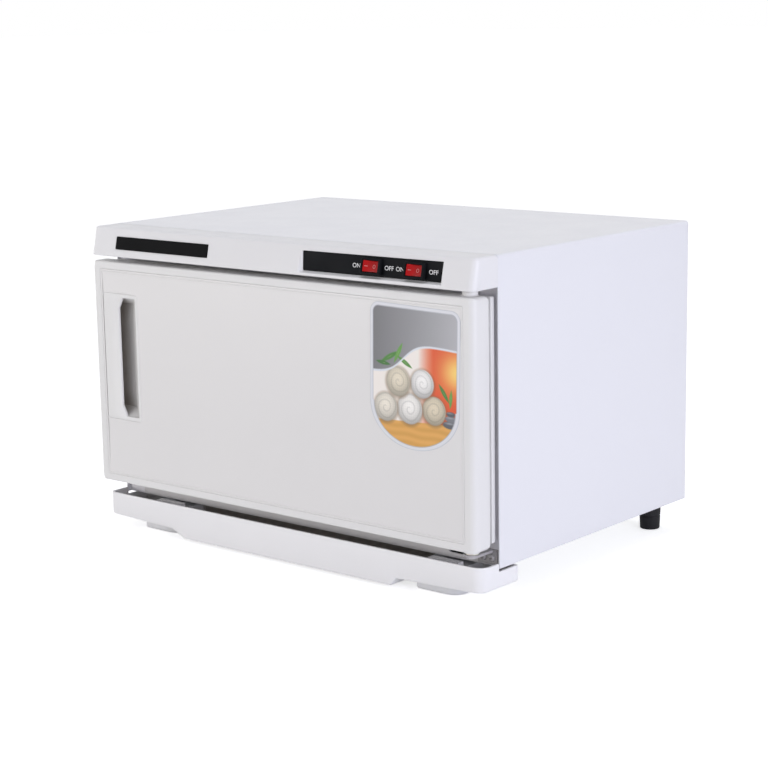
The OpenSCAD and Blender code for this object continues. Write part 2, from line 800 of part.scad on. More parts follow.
module catch_block(y0, y1, grow) {
    span([-catch_w / 2 - grow, y0, -catch_h / 2 - grow], [catch_w / 2 + grow, y1, catch_h / 2 + grow]);
}

module strike_plates() color("silver") at_cabinet() strike_places()
    catch_block(pan_back - strike_t, pan_back, 0);

module catch_magnets() color("dimgray") at_cabinet() strike_places()
    catch_block(pan_back + gap, frame_set, 0);

module door_foam() color("lightyellow") at_cabinet() {
    g = door_wall + gap;
    difference() {
        intersection() {
            door_block(g);
            span([-cab_w, -door_front + g, 0], [cab_w, rim_y - gap, cab_h]);
        }
        along_y(-cab_d, cab_d) handle_shape(gap);
        hinge_boss_pair(hinge_boss_r + gap, bush_depth + gap, boss_out);
    }
}

module door_gasket() color("white") at_cabinet() {
    seat = frame_set - gap;
    soft_r = 3;
    difference() {
        intersection() {
            along_y(pan_back, seat) round_rect(-pan_x, pan_x, pan_low, pan_high, [3, 3, 3, 3]);
            // The rear outer edge is rounded so that the hinge side swings clear
            translate([0, 0, pan_low]) linear_extrude(pan_high - pan_low)
                round_rect(-pan_x, pan_x, pan_back - 8, seat, [0, 0, soft_r, soft_r]);
        }
        along_y(pan_back - cut, seat + cut) round_rect(-pan_x + gasket_w, pan_x - gasket_w,
            pan_low + gasket_w, pan_high - gasket_w, [2, 2, 2, 2]);
    }
}

// The finger pocket: a slot in front, undercut behind the grip plate, scooped on the right
module handle_insert() color("whitesmoke") at_cabinet() {
    y0 = -door_front;
    deep = y0 + pocket_depth;
    left = handle_left + 3;
    chamfer_x = 5.6;
    chamfer_z = 10;
    difference() {
        along_y(y0, deep + 2) handle_shape(-gap / 2);
        along_y(y0 - cut, y0 + grip_t + 0.01) polygon([
            [slot_left, handle_mid - slot_half + chamfer_z],
            [slot_left + chamfer_x, handle_mid - slot_half],
            [slot_right, handle_mid - slot_half], [slot_right, handle_mid + slot_half],
            [slot_left + chamfer_x, handle_mid + slot_half],
            [slot_left, handle_mid + slot_half - chamfer_z]]);
        translate([0, 0, handle_mid - slot_half]) linear_extrude(2 * slot_half) polygon([
            [left, y0 + grip_t], [left, deep], [slot_left + 4, deep], [slot_right, y0 + grip_t]]);
    }
}

module door_label() color("lightgray") at_cabinet() {
    x = cab_w / 2 - sticker_in;
    top = door_top - sticker_drop;
    low = top - sticker_h;
    foot = low + sticker_foot;
    along_y(-door_front - sticker_t, -door_front) union() {
        round_rect(x - sticker_w / 2, x + sticker_w / 2, foot, top, [0, 0, 9, 9]);
        polygon([for (i = [0:32]) let (a = 180 + 180 * i / 32)
            [x + sticker_w / 2 * cos(a), foot + 0.01 + sticker_foot * sin(a)]]);
    }
}

module hinge_bushes() color("ivory") at_cabinet() difference() {
    hinge_boss_pair(bush_d / 2, bush_depth, boss_out);
    hinge_boss_pair(pin_d / 2 + running, bush_depth + cut, boss_out + cut);
}

low_washer_r = 5.5;
high_washer_r = 4.2;
bracket_low = door_lift - boss_out - washer_t - 2 * 0.1;
bracket_high = fascia_z + fascia_wall + gap / 2;

module hinge_washers() color("ivory") at_cabinet() difference() {
    union() {
        translate([hinge_x, hinge_y, bracket_low + 0.1]) cylinder(r = low_washer_r, h = washer_t);
        translate([hinge_x, hinge_y, door_top + boss_out + 0.1])
            cylinder(r = high_washer_r, h = washer_t);
    }
    hinge_boss_pair(pin_d / 2 + running, 1, boss_out + 3 * washer_t);
}

module bracket_leg(z0) {
    r = hinge_boss_r + 0.4;
    translate([hinge_x, hinge_y, z0]) cylinder(r = r, h = bracket_t);
    span([hinge_x - r, hinge_y, z0], [hinge_x + r, frame_set - bracket_t / 2, z0 + bracket_t]);
}

bracket_x = cab_w / 2 - 4 - bracket_w / 2;
bracket_plate_h = 14;
bracket_screw_pitch = 9;

module lower_bracket_screws() {
    for (s = [-1, 1]) translate([bracket_x + s * bracket_screw_pitch / 2, frame_set,
        bracket_low / 2]) children();
}

module upper_bracket_screws() {
    for (s = [-1, 1]) translate([bracket_x + s * bracket_screw_pitch / 2, frame_set,
        bracket_high + bracket_t + 6]) children();
}

module lower_hinge_bracket() color("saddlebrown") at_cabinet() {
    difference() {
        union() {
            bracket_leg(bracket_low - bracket_t);
            span([bracket_x - bracket_w / 2, frame_set - bracket_t, 2],
                [bracket_x + bracket_w / 2, frame_set, bracket_low]);
        }
        translate([hinge_x, hinge_y, 0]) cylinder(r = pin_d / 2 + running, h = door_lift);
        lower_bracket_screws() rotate([90, 0, 0]) translate([0, 0, -cut])
            cylinder(r = screw_r + running, h = 4);
    }
}

module upper_hinge_bracket() color("dimgray") at_cabinet() {
    difference() {
        union() {
            bracket_leg(bracket_high);
            span([bracket_x - bracket_w / 2, frame_set - bracket_t, bracket_high],
                [bracket_x + bracket_w / 2, frame_set, bracket_high + bracket_plate_h]);
        }
        translate([hinge_x, hinge_y, fascia_z]) cylinder(r = pin_d / 2 + running, h = fascia_h);
        upper_bracket_screws() rotate([90, 0, 0]) translate([0, 0, -cut])
            cylinder(r = screw_r + running, h = 4);
    }
}

module hinge_screws() color("silver") at_cabinet() {
    lower_bracket_screws() translate([0, -bracket_t, 0]) screw_out(bracket_t + 5, 1);
    upper_bracket_screws() translate([0, -bracket_t, 0]) screw_out(bracket_t + 5, 1);
}

// Each pin is held in its bracket by a head and turns in the door's bush
module upper_hinge_pin() color("silver") at_cabinet() {
    low = door_top - bush_depth + 1;
    translate([hinge_x, hinge_y, low])
        cylinder(r = pin_d / 2, h = bracket_high + bracket_t + 0.1 - low);
    translate([hinge_x, hinge_y, bracket_high + bracket_t]) cylinder(r = pin_d / 2 + 1.5, h = 1.6);
}

module lower_hinge_pin() color("silver") at_cabinet() {
    head = bracket_low - bracket_t;
    translate([hinge_x, hinge_y, head - 0.1])
        cylinder(r = pin_d / 2, h = door_lift + bush_depth - 1 - head);
    translate([hinge_x, hinge_y, head - 1.6]) cylinder(r = pin_d / 2 + 1.5, h = 1.6);
}

// Tray section in X and Z: shallow ends that fall gently towards a deeper middle well
module tray_section(inset, top) {
    round_r = 4;
    half = cab_w / 2 - inset;
    well_x = well_half - inset;
    slope = atan((tray_well_drop - tray_mid_drop) / well_slant);
    low = -tray_well_drop + inset;
    foot_x = well_x - well_slant;
    right = concat(
        arc([foot_x - round_r * tan(slope / 2), low + round_r], round_r, -90, -90 + slope, 4),
        [[well_x, -tray_mid_drop + inset]],
        arc([half - round_r, -tray_end_drop + inset + round_r], round_r, -88, 0, 5),
        [[half, top]]);
    polygon(concat(right, [for (i = [len(right) - 1:-1:0]) [-right[i][0], right[i][1]]]));
}

module tray_plan(inset) {
    r = tray_r - inset;
    round_rect(-cab_w / 2 + inset, cab_w / 2 - inset, -tray_front + inset, tray_back - inset,
        [r, r, 3, 3]);
}

module tray_lug_shape(grow) {
    half = front_foot_w / 2 - 5;
    round_rect(-half - grow, half + grow, seat_z - cut, -6.8 + grow, [0, 0, 1, 1]);
}

module drip_tray() color("white") at_cabinet() {
    low_rim = -2.4;
    lug_front = frame_set + 2;
    step_y = -0.6;
    difference() {
        intersection() {
            along_y(-tray_front, tray_back) tray_section(0, tray_rise);
            translate([0, 0, -tray_well_drop]) linear_extrude(tray_well_drop + tray_rise)
                tray_plan(0);
        }
        intersection() {
            along_y(-tray_front, tray_back) tray_section(tray_wall, tray_rise + cut);
            translate([0, 0, -tray_well_drop]) linear_extrude(tray_well_drop + tray_rise + cut)
                tray_plan(tray_wall);
        }
        span([-cab_w, step_y, low_rim], [cab_w, tray_back + cut, tray_rise + cut]);
        for (s = [-1, 1]) translate([s * front_foot_x, 0, 0])
            along_y(lug_front - gap, tray_back + cut) tray_lug_shape(0.6);
    }
    // Raised channels that ride over the front feet
    for (s = [-1, 1]) translate([s * front_foot_x, 0, 0]) difference() {
        intersection() {
            along_y(lug_front - 3, tray_back) tray_lug_shape(0.6 + 1.8);
            span([-front_foot_w, 0, -tray_mid_drop + 0.4], [front_foot_w, tray_back, 0]);
        }
        along_y(lug_front - gap, tray_back + cut) tray_lug_shape(0.6);
    }
}

// Depth of the screw head's pocket in a foot, measured up from the floor
front_pocket = 12;
rear_pocket = 10;

// Front foot: a toe under the tray, a lug in the tray's channel and a block up to the base
module front_foot(side) {
    back = front_foot_d - toe_front;
    half = front_foot_w / 2;
    difference() {
        translate([side * front_foot_x, 0, 0]) union() {
            translate([0, 0, -ground_clear]) linear_extrude(seat_z + ground_clear)
                round_rect(-half, half, -toe_front, back, [3, 3, 3, 3]);
            along_y(frame_set + 2, back - 4) tray_lug_shape(0);
            span([-half + 4, tray_back + 1, seat_z - cut], [half - 4, back - 2, base_z]);
        }
        translate([side * front_foot_x, foot_screw_y(), -ground_clear - cut]) {
            cylinder(r = screw_r + running, h = ground_clear + base_z + 2 * cut);
            cylinder(r = head_r + gap, h = front_pocket + cut);
        }
    }
}

module front_foot_left() color("gainsboro") at_cabinet() front_foot(-1);

module front_foot_right() color("gainsboro") at_cabinet() front_foot(1);

module rear_foot(side) {
    tall = ground_clear + base_z;
    translate([side * rear_foot_x, cab_d - rear_foot_in, -ground_clear]) rotate_extrude() polygon([
        [head_r + gap, 0], [rear_foot_low_d / 2 - 0.8, 0], [rear_foot_low_d / 2, 0.8],
        [rear_foot_d / 2, tall], [screw_r + running, tall],
        [screw_r + running, rear_pocket], [head_r + gap, rear_pocket]]);
}

module rear_foot_left() color("black") at_cabinet() rear_foot(-1);

module rear_foot_right() color("black") at_cabinet() rear_foot(1);

// Screw that comes up through a foot, its head at the top of the pocket
module foot_screw(pocket) {
    shank = ground_clear + base_top + 3 - pocket;
    translate([0, 0, pocket - ground_clear]) {
        translate([0, 0, -head_t]) cylinder(r = head_r, h = head_t);
        cylinder(r = screw_r, h = shank);
    }
}

module foot_screws() color("silver") at_cabinet() for (s = [-1, 1]) {
    translate([s * rear_foot_x, cab_d - rear_foot_in, 0]) foot_screw(rear_pocket);
    translate([s * front_foot_x, foot_screw_y(), 0]) foot_screw(front_pocket);
}

module back_screws() color("silver") at_cabinet()
    back_screw_places() translate([0, back_y, 0]) screw_out(back_screw_l, -1);

lamp_y = chamber_back - lamp_in;
lamp_z = chamber_top - lamp_drop;
cap_l = 9;
cap_pin_r = 1.2;
cap_pin_l = 6;
holder_l = 12;
holder_w = 22;
holder_drop = 10;

module lamp_tube() color("aliceblue") at_cabinet() {
    translate([-lamp_l / 2 + cap_l, lamp_y, lamp_z]) rotate([0, 90, 0])
        cylinder(r = lamp_d / 2, h = lamp_l - 2 * cap_l);
}

module lamp_caps() color("silver") at_cabinet() for (s = [-1, 1]) mirror([s < 0 ? 1 : 0, 0, 0]) {
    translate([lamp_l / 2 - cap_l, lamp_y, lamp_z]) rotate([0, 90, 0])
        cylinder(r = lamp_d / 2 + 0.3, h = cap_l);
    for (t = [-1, 1]) translate([lamp_l / 2 - 0.1, lamp_y, lamp_z + t * 2 * cap_pin_r])
        rotate([0, 90, 0]) cylinder(r = cap_pin_r, h = cap_pin_l);
}

module lamp_holders() color("white") at_cabinet() for (s = [-1, 1]) mirror([s < 0 ? 1 : 0, 0, 0]) {
    difference() {
        along_x(lamp_l / 2 + gap, lamp_l / 2 + holder_l) round_rect(lamp_y - holder_w / 2,
            lamp_y + holder_w / 2, lamp_z - holder_drop, chamber_top, [6, 6, 0, 0]);
        for (t = [-1, 1]) translate([lamp_l / 2, lamp_y, lamp_z + t * 2 * cap_pin_r])
            rotate([0, 90, 0]) cylinder(r = cap_pin_r + running, h = cap_pin_l + 1);
    }
}

// Round wire from p to q in the plane of Y and Z, ending short of each bend's bead
module guard_rod(p, q, short_p, short_q) {
    run = q - p;
    short = guard_wire / 4;
    translate([0, p[0], p[1]]) rotate([atan2(run[1], run[0]), 0, 0]) rotate([-90, 0, 0])
        translate([0, 0, short_p * short])
            cylinder(r = guard_wire / 2, h = norm(run) - (short_p + short_q) * short, $fn = 16);
}

// Wire guard: bent hoops from the ceiling to the back wall, tied by three long wires
module lamp_guard() color("silver") at_cabinet() {
    reach = lamp_l + 2 * guard_end;
    step = reach / (guard_count - 1);
    bend = guard_r / 3;
    inner = guard_wire * 0.7;
    y0 = chamber_back - guard_r;
    z0 = chamber_top - guard_r;
    upper = [y0, z0 + bend];
    lower = [y0 + bend, z0];
    middle = (upper + lower) / 2;
    for (i = [0:guard_count - 1]) translate([i * step - reach / 2, 0, 0]) {
        guard_rod([y0, chamber_top], upper, 0, 1);
        guard_rod(upper, lower, 1, 1);
        guard_rod(lower, [chamber_back, z0], 1, 0);
        for (c = [upper, lower]) translate([0, c[0], c[1]]) sphere(guard_wire * 0.62, $fn = 16);
    }
    for (c = [[y0 + inner, chamber_top - bend], middle + [inner, inner] * 0.7,
            [chamber_back - bend, z0 + inner]])
        translate([-reach / 2 - guard_wire, c[0], c[1]]) rotate([0, 90, 0])
            cylinder(r = guard_wire / 2, h = reach + 2 * guard_wire, $fn = 16);
}

// Wire rack: a rim with cross wires and four feet on the chamber's floor
module towel_rack() color("lightgray") at_cabinet() {
    half = chamber_w / 2 - rack_gap - rim_wire / 2;
    y0 = frame_back + rack_gap + rim_wire / 2;
    y1 = chamber_back - rack_gap - rim_wire / 2;
    z = chamber_z + rack_lift + rim_wire / 2;
    step = 2 * half / (cross_count + 1);
    for (y = [y0, y1]) translate([-half, y, z]) rotate([0, 90, 0])
        cylinder(r = rim_wire / 2, h = 2 * half, $fn = 20);
    for (s = [-1, 1]) translate([s * half, y0, z]) rotate([-90, 0, 0])
        cylinder(r = rim_wire / 2, h = y1 - y0, $fn = 20);
    for (s = [-1, 1]) for (y = [y0, y1]) {
        translate([s * half, y, z]) sphere(rim_wire / 2, $fn = 20);
        translate([s * half, y, chamber_z]) cylinder(r = rim_wire / 2, h = z - chamber_z, $fn = 20);
    }
    for (i = [1:cross_count]) translate([-half + i * step, y0, z + rim_wire / 2 - 0.4])
        rotate([-90, 0, 0]) cylinder(r = cross_wire / 2, h = y1 - y0, $fn = 14);
}

ballast_x = 102;
ballast_l = 84;
ballast_core_l = 60;
ballast_w = 38;
ballast_core_h = 25;
ballast_foot_t = 3;

module ballast() color("dimgray") at_cabinet() translate([ballast_x, component_y, shelf_z + sheet_t]) {
    difference() {
        span([-ballast_l / 2, -ballast_w / 2, 0], [ballast_l / 2, ballast_w / 2, ballast_foot_t]);
        for (s = [-1, 1]) translate([s * (ballast_l + ballast_core_l) / 4, 0, -cut])
            cylinder(r = 2.2, h = ballast_foot_t + 2 * cut);
    }
    span([-ballast_core_l / 2, -ballast_w / 2, ballast_foot_t - 0.1],
        [ballast_core_l / 2, ballast_w / 2, ballast_core_h]);
}

starter_x = -22;
starter_r = 10.6;
starter_l = 34;
starter_foot = 12;

module starter() color("white") at_cabinet() translate([starter_x, component_y, shelf_z + sheet_t]) {
    translate([-starter_l / 2, 0, starter_r + 1]) rotate([0, 90, 0]) {
        cylinder(r = starter_r, h = starter_l);
        translate([0, 0, starter_l - 0.1]) cylinder(r = 5, h = 3);
    }
    span([-starter_foot / 2, -starter_foot / 2, 0], [starter_foot / 2, starter_foot / 2, 2.5]);
}

terminal_x = -120;
terminal_pitch = 10;
terminal_count = 6;
terminal_w = 17;
terminal_h = 13;

module terminal_block() color("ivory") at_cabinet()
    translate([terminal_x, component_y, shelf_z + sheet_t]) difference() {
        half = terminal_count * terminal_pitch / 2;
        span([-half, -terminal_w / 2, 0], [half, terminal_w / 2, terminal_h]);
        for (i = [0:terminal_count - 1]) translate([(i + 0.5) * terminal_pitch - half, 0, 4])
            cylinder(r = 2.2, h = terminal_h);
    }

module interlock_body() color("black") at_cabinet() {
    y0 = frame_back + liner_t + gap;
    difference() {
        span([plunger_x - 5, y0, plunger_z - 14], [plunger_x + 3.5, y0 + 14, plunger_z + 14]);
        translate([plunger_x, y0 - cut, plunger_z]) rotate([-90, 0, 0])
            cylinder(r = plunger_d / 2 + running, h = 9 + cut);
    }
    span([plunger_x - 5, frame_back, plunger_z + 9], [plunger_x - 2.6, y0 + cut, plunger_z + 14]);
}

module interlock_plunger() color("red") at_cabinet() {
    y0 = pan_back + gap;
    translate([plunger_x, y0, plunger_z]) rotate([-90, 0, 0]) {
        cylinder(r = plunger_d / 2, h = frame_back + liner_t + 6 - y0);
    }
}

module cable_gland() color("black") at_cabinet() {
    translate([gland_x, back_y, gland_z]) rotate([90, 0, 0]) difference() {
        union() {
            translate([0, 0, -back_set + 0.2]) cylinder(r = gland_d / 2 + 2.4, h = back_set - 0.2);
            cylinder(r = gland_d / 2, h = gland_l);
        }
        translate([0, 0, -back_set]) cylinder(r = gland_bore / 2, h = gland_l + 2 * back_set);
    }
}

housing_wrap();
base_plate();
back_panel();
front_frame();
left_upright();
right_upright();
chamber_liner();
insulation();
component_shelf();
top_fascia();
name_badge();
switch_label();
heater_switch_body();
lamp_switch_body();
heater_rocker();
lamp_rocker();
door_shell();
door_face_panel();
door_inner_pan();
door_foam();
door_gasket();
handle_insert();
door_label();
strike_plates();
catch_magnets();
hinge_bushes();
hinge_washers();
upper_hinge_bracket();
lower_hinge_bracket();
upper_hinge_pin();
lower_hinge_pin();
drip_tray();
front_foot_left();
front_foot_right();
rear_foot_left();
rear_foot_right();
lamp_tube();
lamp_caps();
lamp_holders();
lamp_guard();
towel_rack();
heater_plate();
thermostat();
thermal_fuse();
ballast();
starter();
terminal_block();
interlock_body();
interlock_plunger();
cable_gland();
back_screws();
hinge_screws();
foot_screws();
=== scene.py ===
# %% [markdown]
# # Towel warmer with steriliser lamp, dressed for a picture
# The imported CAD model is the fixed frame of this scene. It already has every part in its
# real place and size, in metres. This lesson adds what CAD leaves out: rounded skins, fine
# beads, wires, prints, finishes, light and a camera.

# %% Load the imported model
import math

import bmesh
import bpy
import numpy as np
from mathutils import Matrix, Vector


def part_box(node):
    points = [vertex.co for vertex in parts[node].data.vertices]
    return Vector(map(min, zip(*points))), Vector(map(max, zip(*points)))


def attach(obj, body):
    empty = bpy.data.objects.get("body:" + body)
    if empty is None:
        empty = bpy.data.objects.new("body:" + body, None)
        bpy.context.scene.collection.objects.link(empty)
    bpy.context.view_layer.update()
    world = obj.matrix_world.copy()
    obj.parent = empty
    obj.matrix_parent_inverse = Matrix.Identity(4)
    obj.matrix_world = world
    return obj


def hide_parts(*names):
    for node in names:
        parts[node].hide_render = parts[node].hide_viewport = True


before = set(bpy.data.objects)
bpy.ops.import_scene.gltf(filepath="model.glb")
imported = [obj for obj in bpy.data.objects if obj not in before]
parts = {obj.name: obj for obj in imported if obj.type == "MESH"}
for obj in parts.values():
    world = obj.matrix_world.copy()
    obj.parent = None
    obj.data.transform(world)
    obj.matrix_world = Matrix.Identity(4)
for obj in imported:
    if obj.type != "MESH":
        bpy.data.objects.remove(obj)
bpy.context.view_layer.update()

# %% [markdown]
# ## One ruler for all pieces
# The cabinet is drawn in millimetres from the front lower edge of its sheet wrap, on the
# centre line, with Y going back. The wrap's own box tells where that point lies in the
# frame, and the boxes of the other nodes, read with the same ruler, tell where a skin has to
# end, so no place is guessed. The leaning fascia has its own small frame: x across, depth
# behind its face, and s up its slope.

# %% From drawing millimetres to frame metres, and back
wrap_low, wrap_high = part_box("housing_wrap")
FRONT_EDGE = np.array([0.0, wrap_low.y, wrap_low.z])


def put(points):
    """Frame point = the drawing's point over a thousand + the wrap's front lower edge."""
    return np.asarray(points, float) / 1000 + FRONT_EDGE


def span(name):
    """Low and high corner of a CAD node's box in drawing millimetres, to a micrometre."""
    return ((np.array([corner[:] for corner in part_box(name)]) - FRONT_EDGE) * 1000).round(3)


LEAN = math.radians(12.9)
HALF_WIDTH = span("housing_wrap")[1][0]
FASCIA_FRONT, FASCIA_FOOT = span("top_fascia")[0][1:]
FASCIA_TOP = span("top_fascia")[1][2]


def on_slope(x, depth, s):
    """Leaning face: y = depth cos L + s sin L + front and z = s cos L - depth sin L + foot."""
    x, depth, s = np.broadcast_arrays(*(np.asarray(v, float) for v in (x, depth, s)))
    y = depth * math.cos(LEAN) + s * math.sin(LEAN) + FASCIA_FRONT
    return np.stack([x, y, s * math.cos(LEAN) - depth * math.sin(LEAN) + FASCIA_FOOT], -1)


print("front lower edge at", FRONT_EDGE, "cabinet", (wrap_high - wrap_low)[:])

# %% [markdown]
# ## Camera
# The photograph was taken from the right and a little above, with a long lens. The view
# angles were solved from the cabinet's own corners, so the camera only has to be built from
# its three axes: right, up and back.

# %% Build the camera from its axes
AZIMUTH, ELEVATION, ROLL = math.radians(40.01), math.radians(10.98), math.radians(-0.996)
FOCAL_LENGTH, SENSOR = 91.315, 36
CAMERA_PLACE = (1.1526, -1.378347, 0.4887)


def stand(name, data):
    """A new object with this data, linked into the scene."""
    made = bpy.data.objects.new(name, data)
    bpy.context.scene.collection.objects.link(made)
    return made


back = np.array([math.sin(AZIMUTH) * math.cos(ELEVATION),
                 -math.cos(AZIMUTH) * math.cos(ELEVATION), math.sin(ELEVATION)])
level = np.array([math.cos(AZIMUTH), math.sin(AZIMUTH), 0.0])
upward = np.cross(back, level)
right = math.cos(ROLL) * level + math.sin(ROLL) * upward
top = -math.sin(ROLL) * level + math.cos(ROLL) * upward
lens = bpy.data.cameras.new("view")
lens.lens, lens.sensor_width = FOCAL_LENGTH, SENSOR
lens.clip_start, lens.clip_end = 0.05, 50
camera = stand("view", lens)
place = np.eye(4)
place[:3, :3] = np.stack([right, top, back], 1)
place[:3, 3] = CAMERA_PLACE
camera.matrix_world = Matrix(place.tolist())
bpy.context.scene.camera = camera
print("camera looks along", -back)

# %% [markdown]
# ## Nodes without clutter
# Materials are small machines of nodes. Three helpers keep the cells short: one feeds
# sockets, one adds a node and hands back its outputs, and one opens a node group with named
# sockets. An effect that many finishes share is made once as a group, as a workshop keeps
# one sanding block.

# %% Helpers for nodes, node groups and colours
def feed(tree, inputs, sockets):
    """Link a socket to the one that makes its value, or set it where the value is constant."""
    for key, value in sockets.items():
        if isinstance(value, bpy.types.NodeSocket):
            tree.links.new(value, inputs[key])
        else:
            inputs[key].default_value = value


def add(tree, kind, sockets=None, **options):
    """Add a shader node, set its options, feed its inputs and give back its outputs."""
    made = tree.nodes.new("ShaderNode" + kind)
    for key, value in options.items():
        setattr(made, key, value)
    feed(tree, made.inputs, sockets or {})
    return made.outputs


def open_group(name, inputs, outputs):
    """A node group with named inputs and their usual values, and named outputs."""
    tree = bpy.data.node_groups.new(name, "ShaderNodeTree")
    kinds = {1: "NodeSocketFloat", 3: "NodeSocketVector", 4: "NodeSocketColor"}
    for label, value in inputs.items():
        size = len(value) if isinstance(value, tuple) else 1
        tree.interface.new_socket(label, in_out="INPUT",
                                  socket_type=kinds[size]).default_value = value
    for label, size in outputs.items():
        tree.interface.new_socket(label, in_out="OUTPUT", socket_type=kinds[size])
    return tree, tree.nodes.new("NodeGroupInput").outputs, tree.nodes.new("NodeGroupOutput").inputs


def colour(red, green, blue):
    """Linear colour of a screen colour c in 0..255: ((c / 255 + 0.055) / 1.055) ^ 2.4."""
    c = np.array([red, green, blue]) / 255
    linear = np.where(c > 0.04045, ((c + 0.055) / 1.055) ** 2.4, c / 12.92)
    return (*linear.tolist(), 1.0)


print("a pale grey of 224 is", round(colour(224, 224, 224)[0], 3), "in linear light")

# %% [markdown]
# ## Six shared effects
# *Skin* is the faint pebble of moulded plastic or sprayed paint. *Tone* lets a colour drift
# a little over a hand's breadth. *Edge* rounds what is a sharp CAD edge for the light and
# says where that edge is, because real edges are never knife sharp. *Dust* gathers where a
# face looks up. *Crevice* paints shade into deep pockets: it darkens the colour where the
# piece shades itself. *Lines* are the long scratches of rolled or brushed metal. All are built
# from the same few sums, so these come first.

# %% Sums, ranges and specks
def reckon(tree, how, one, other):
    """ADD, DIVIDE, MULTIPLY or MAXIMUM of two values."""
    return add(tree, "Math", {0: one, 1: other}, operation=how)[0]


def remap(tree, value, source=(0.0, 1.0), target=(0.0, 1.0)):
    """Lay the range source of a value over the range target, and stop at its ends."""
    return add(tree, "MapRange", {"Value": value, "From Min": source[0], "From Max": source[1],
                                  "To Min": target[0], "To Max": target[1]})[0]


def mix(tree, share, one, other):
    """A colour that goes from one to the other as the share goes from 0 to 1."""
    return add(tree, "Mix", {0: share, 6: one, 7: other}, data_type="RGBA")[2]


def relief(tree, height, strength, normal=None, depth=0.0002):
    """Bumped normal: a height map that is a depth in metres high, over another normal."""
    sockets = {"Strength": strength, "Distance": depth, "Height": height}
    if normal is not None:
        sockets["Normal"] = normal
    return add(tree, "Bump", sockets)[0]


def speckle(tree, size, detail):
    """Noise on the object's own metres with spots of a given size: scale = 1 / size."""
    where = add(tree, "TexCoord")["Object"]
    rate = reckon(tree, "DIVIDE", 1.0, size)
    return add(tree, "TexNoise", {"Vector": where, "Scale": rate, "Detail": detail})[0]


print("spots of 0.8 mm need a noise scale of", round(1 / 0.0008))

# %% Skin: fine pebble height and a wider mottle
skin, given, out = open_group("surface_skin", {"Size": 0.0008, "Spread": 0.03},
                              {"Height": 1, "Mottle": 1})
where = add(skin, "TexCoord")["Object"]
fine = reckon(skin, "DIVIDE", 1.0, given["Size"])
cells = add(skin, "TexVoronoi", {"Vector": where, "Scale": fine}, feature="SMOOTH_F1")["Distance"]
feed(skin, out, {"Height": reckon(skin, "ADD", speckle(skin, given["Size"], 2.0), cells),
                 "Mottle": speckle(skin, given["Spread"], 1.0)})
print(skin.name, "has", len(skin.nodes), "nodes")

# %% Tone: a colour that drifts between two near ones
tone, given, out = open_group(
    "slow_tone", {"One": (0.8, 0.8, 0.8, 1.0), "Other": (0.7, 0.7, 0.7, 1.0), "Size": 0.05},
    {"Colour": 4})
feed(tone, out, {"Colour": mix(tone, speckle(tone, given["Size"], 1.0), given["One"],
                               given["Other"])})
print(tone.name, "has", len(tone.nodes), "nodes")

# %% Edge: a rounded normal, and a mask that follows the edges unevenly
edge, given, out = open_group("soft_edge", {"Radius": 0.0005, "Patch": 0.01},
                              {"Normal": 3, "Mask": 1})
round_normal = add(edge, "Bevel", {"Radius": given["Radius"]}, samples=4)[0]
true_normal = add(edge, "NewGeometry")["True Normal"]
facing = add(edge, "VectorMath", {0: round_normal, 1: true_normal},
             operation="DOT_PRODUCT")["Value"]
bent = remap(edge, facing, (0.98, 0.8))
uneven = remap(edge, speckle(edge, given["Patch"], 4.0), (0.4, 0.7))
feed(edge, out, {"Normal": round_normal, "Mask": reckon(edge, "MULTIPLY", bent, uneven)})
print(edge.name, "has", len(edge.nodes), "nodes")

# %% Dust: a mask on faces that look up
dust, given, out = open_group("settled_dust", {"Amount": 0.1, "Size": 0.004}, {"Mask": 1})
normal = add(dust, "NewGeometry")["Normal"]
lift = add(dust, "SeparateXYZ", {0: normal})["Z"]
upper = remap(dust, lift, (0.5, 1.0), (0.0, given["Amount"]))
grains = remap(dust, speckle(dust, given["Size"], 5.0), (0.45, 0.7))
feed(dust, out, {"Mask": reckon(dust, "MULTIPLY", upper, grains)})
print(dust.name, "has", len(dust.nodes), "nodes")

# %% Crevice: a mask of painted shade for places that the piece itself shades
crevice_shade, given, out = open_group("crevice_shade", {"Reach": 0.01, "Open": 0.9, "Shut": 0.4},
                                 {"Mask": 1})
shaded = add(crevice_shade, "AmbientOcclusion", {"Distance": given["Reach"]}, samples=8,
             only_local=True)["AO"]
feed(crevice_shade, out, {"Mask": remap(crevice_shade, shaded, (given["Open"], given["Shut"]))})
print(crevice_shade.name, "has", len(crevice_shade.nodes), "nodes")

# %% Lines: noise pulled long in one direction
lines, given, out = open_group("drawn_lines", {"Pull": (20.0, 1000.0, 1000.0)},
                               {"Height": 1, "Mottle": 1})
where = add(lines, "TexCoord")["Object"]
pulled = add(lines, "Mapping", {"Vector": where, "Scale": given["Pull"]})[0]
strokes = add(lines, "TexNoise", {"Vector": pulled, "Scale": 1.0, "Detail": 5.0})[0]
broad = add(lines, "TexNoise", {"Vector": where, "Scale": 25.0, "Detail": 3.0})[0]
feed(lines, out, {"Height": strokes, "Mottle": broad})
print("shared effects:", [g.name for g in bpy.data.node_groups])

# %% [markdown]
# ## A finish is the effects plus one shader
# Every solid finish here has the same order: a drifting colour, lighter or darker edges,
# dust on top, a roughness that follows the mottle, and a bump on rounded normals. What is
# the same all over, such as how metallic it is, is written on the shader itself.

# %% One recipe for painted, moulded and metal finishes
DUST_GREY = (176, 172, 164)


def use(tree, group, sockets):
    """Place a node group in a material, feed its inputs and give back its outputs."""
    return add(tree, "Group", sockets, node_tree=group)


def blank(name):
    """A new material, its node tree and the inputs of its Principled shader."""
    material = bpy.data.materials.new(name)
    material.use_nodes = True
    tree = material.node_tree
    return material, tree, tree.nodes["Principled BSDF"].inputs


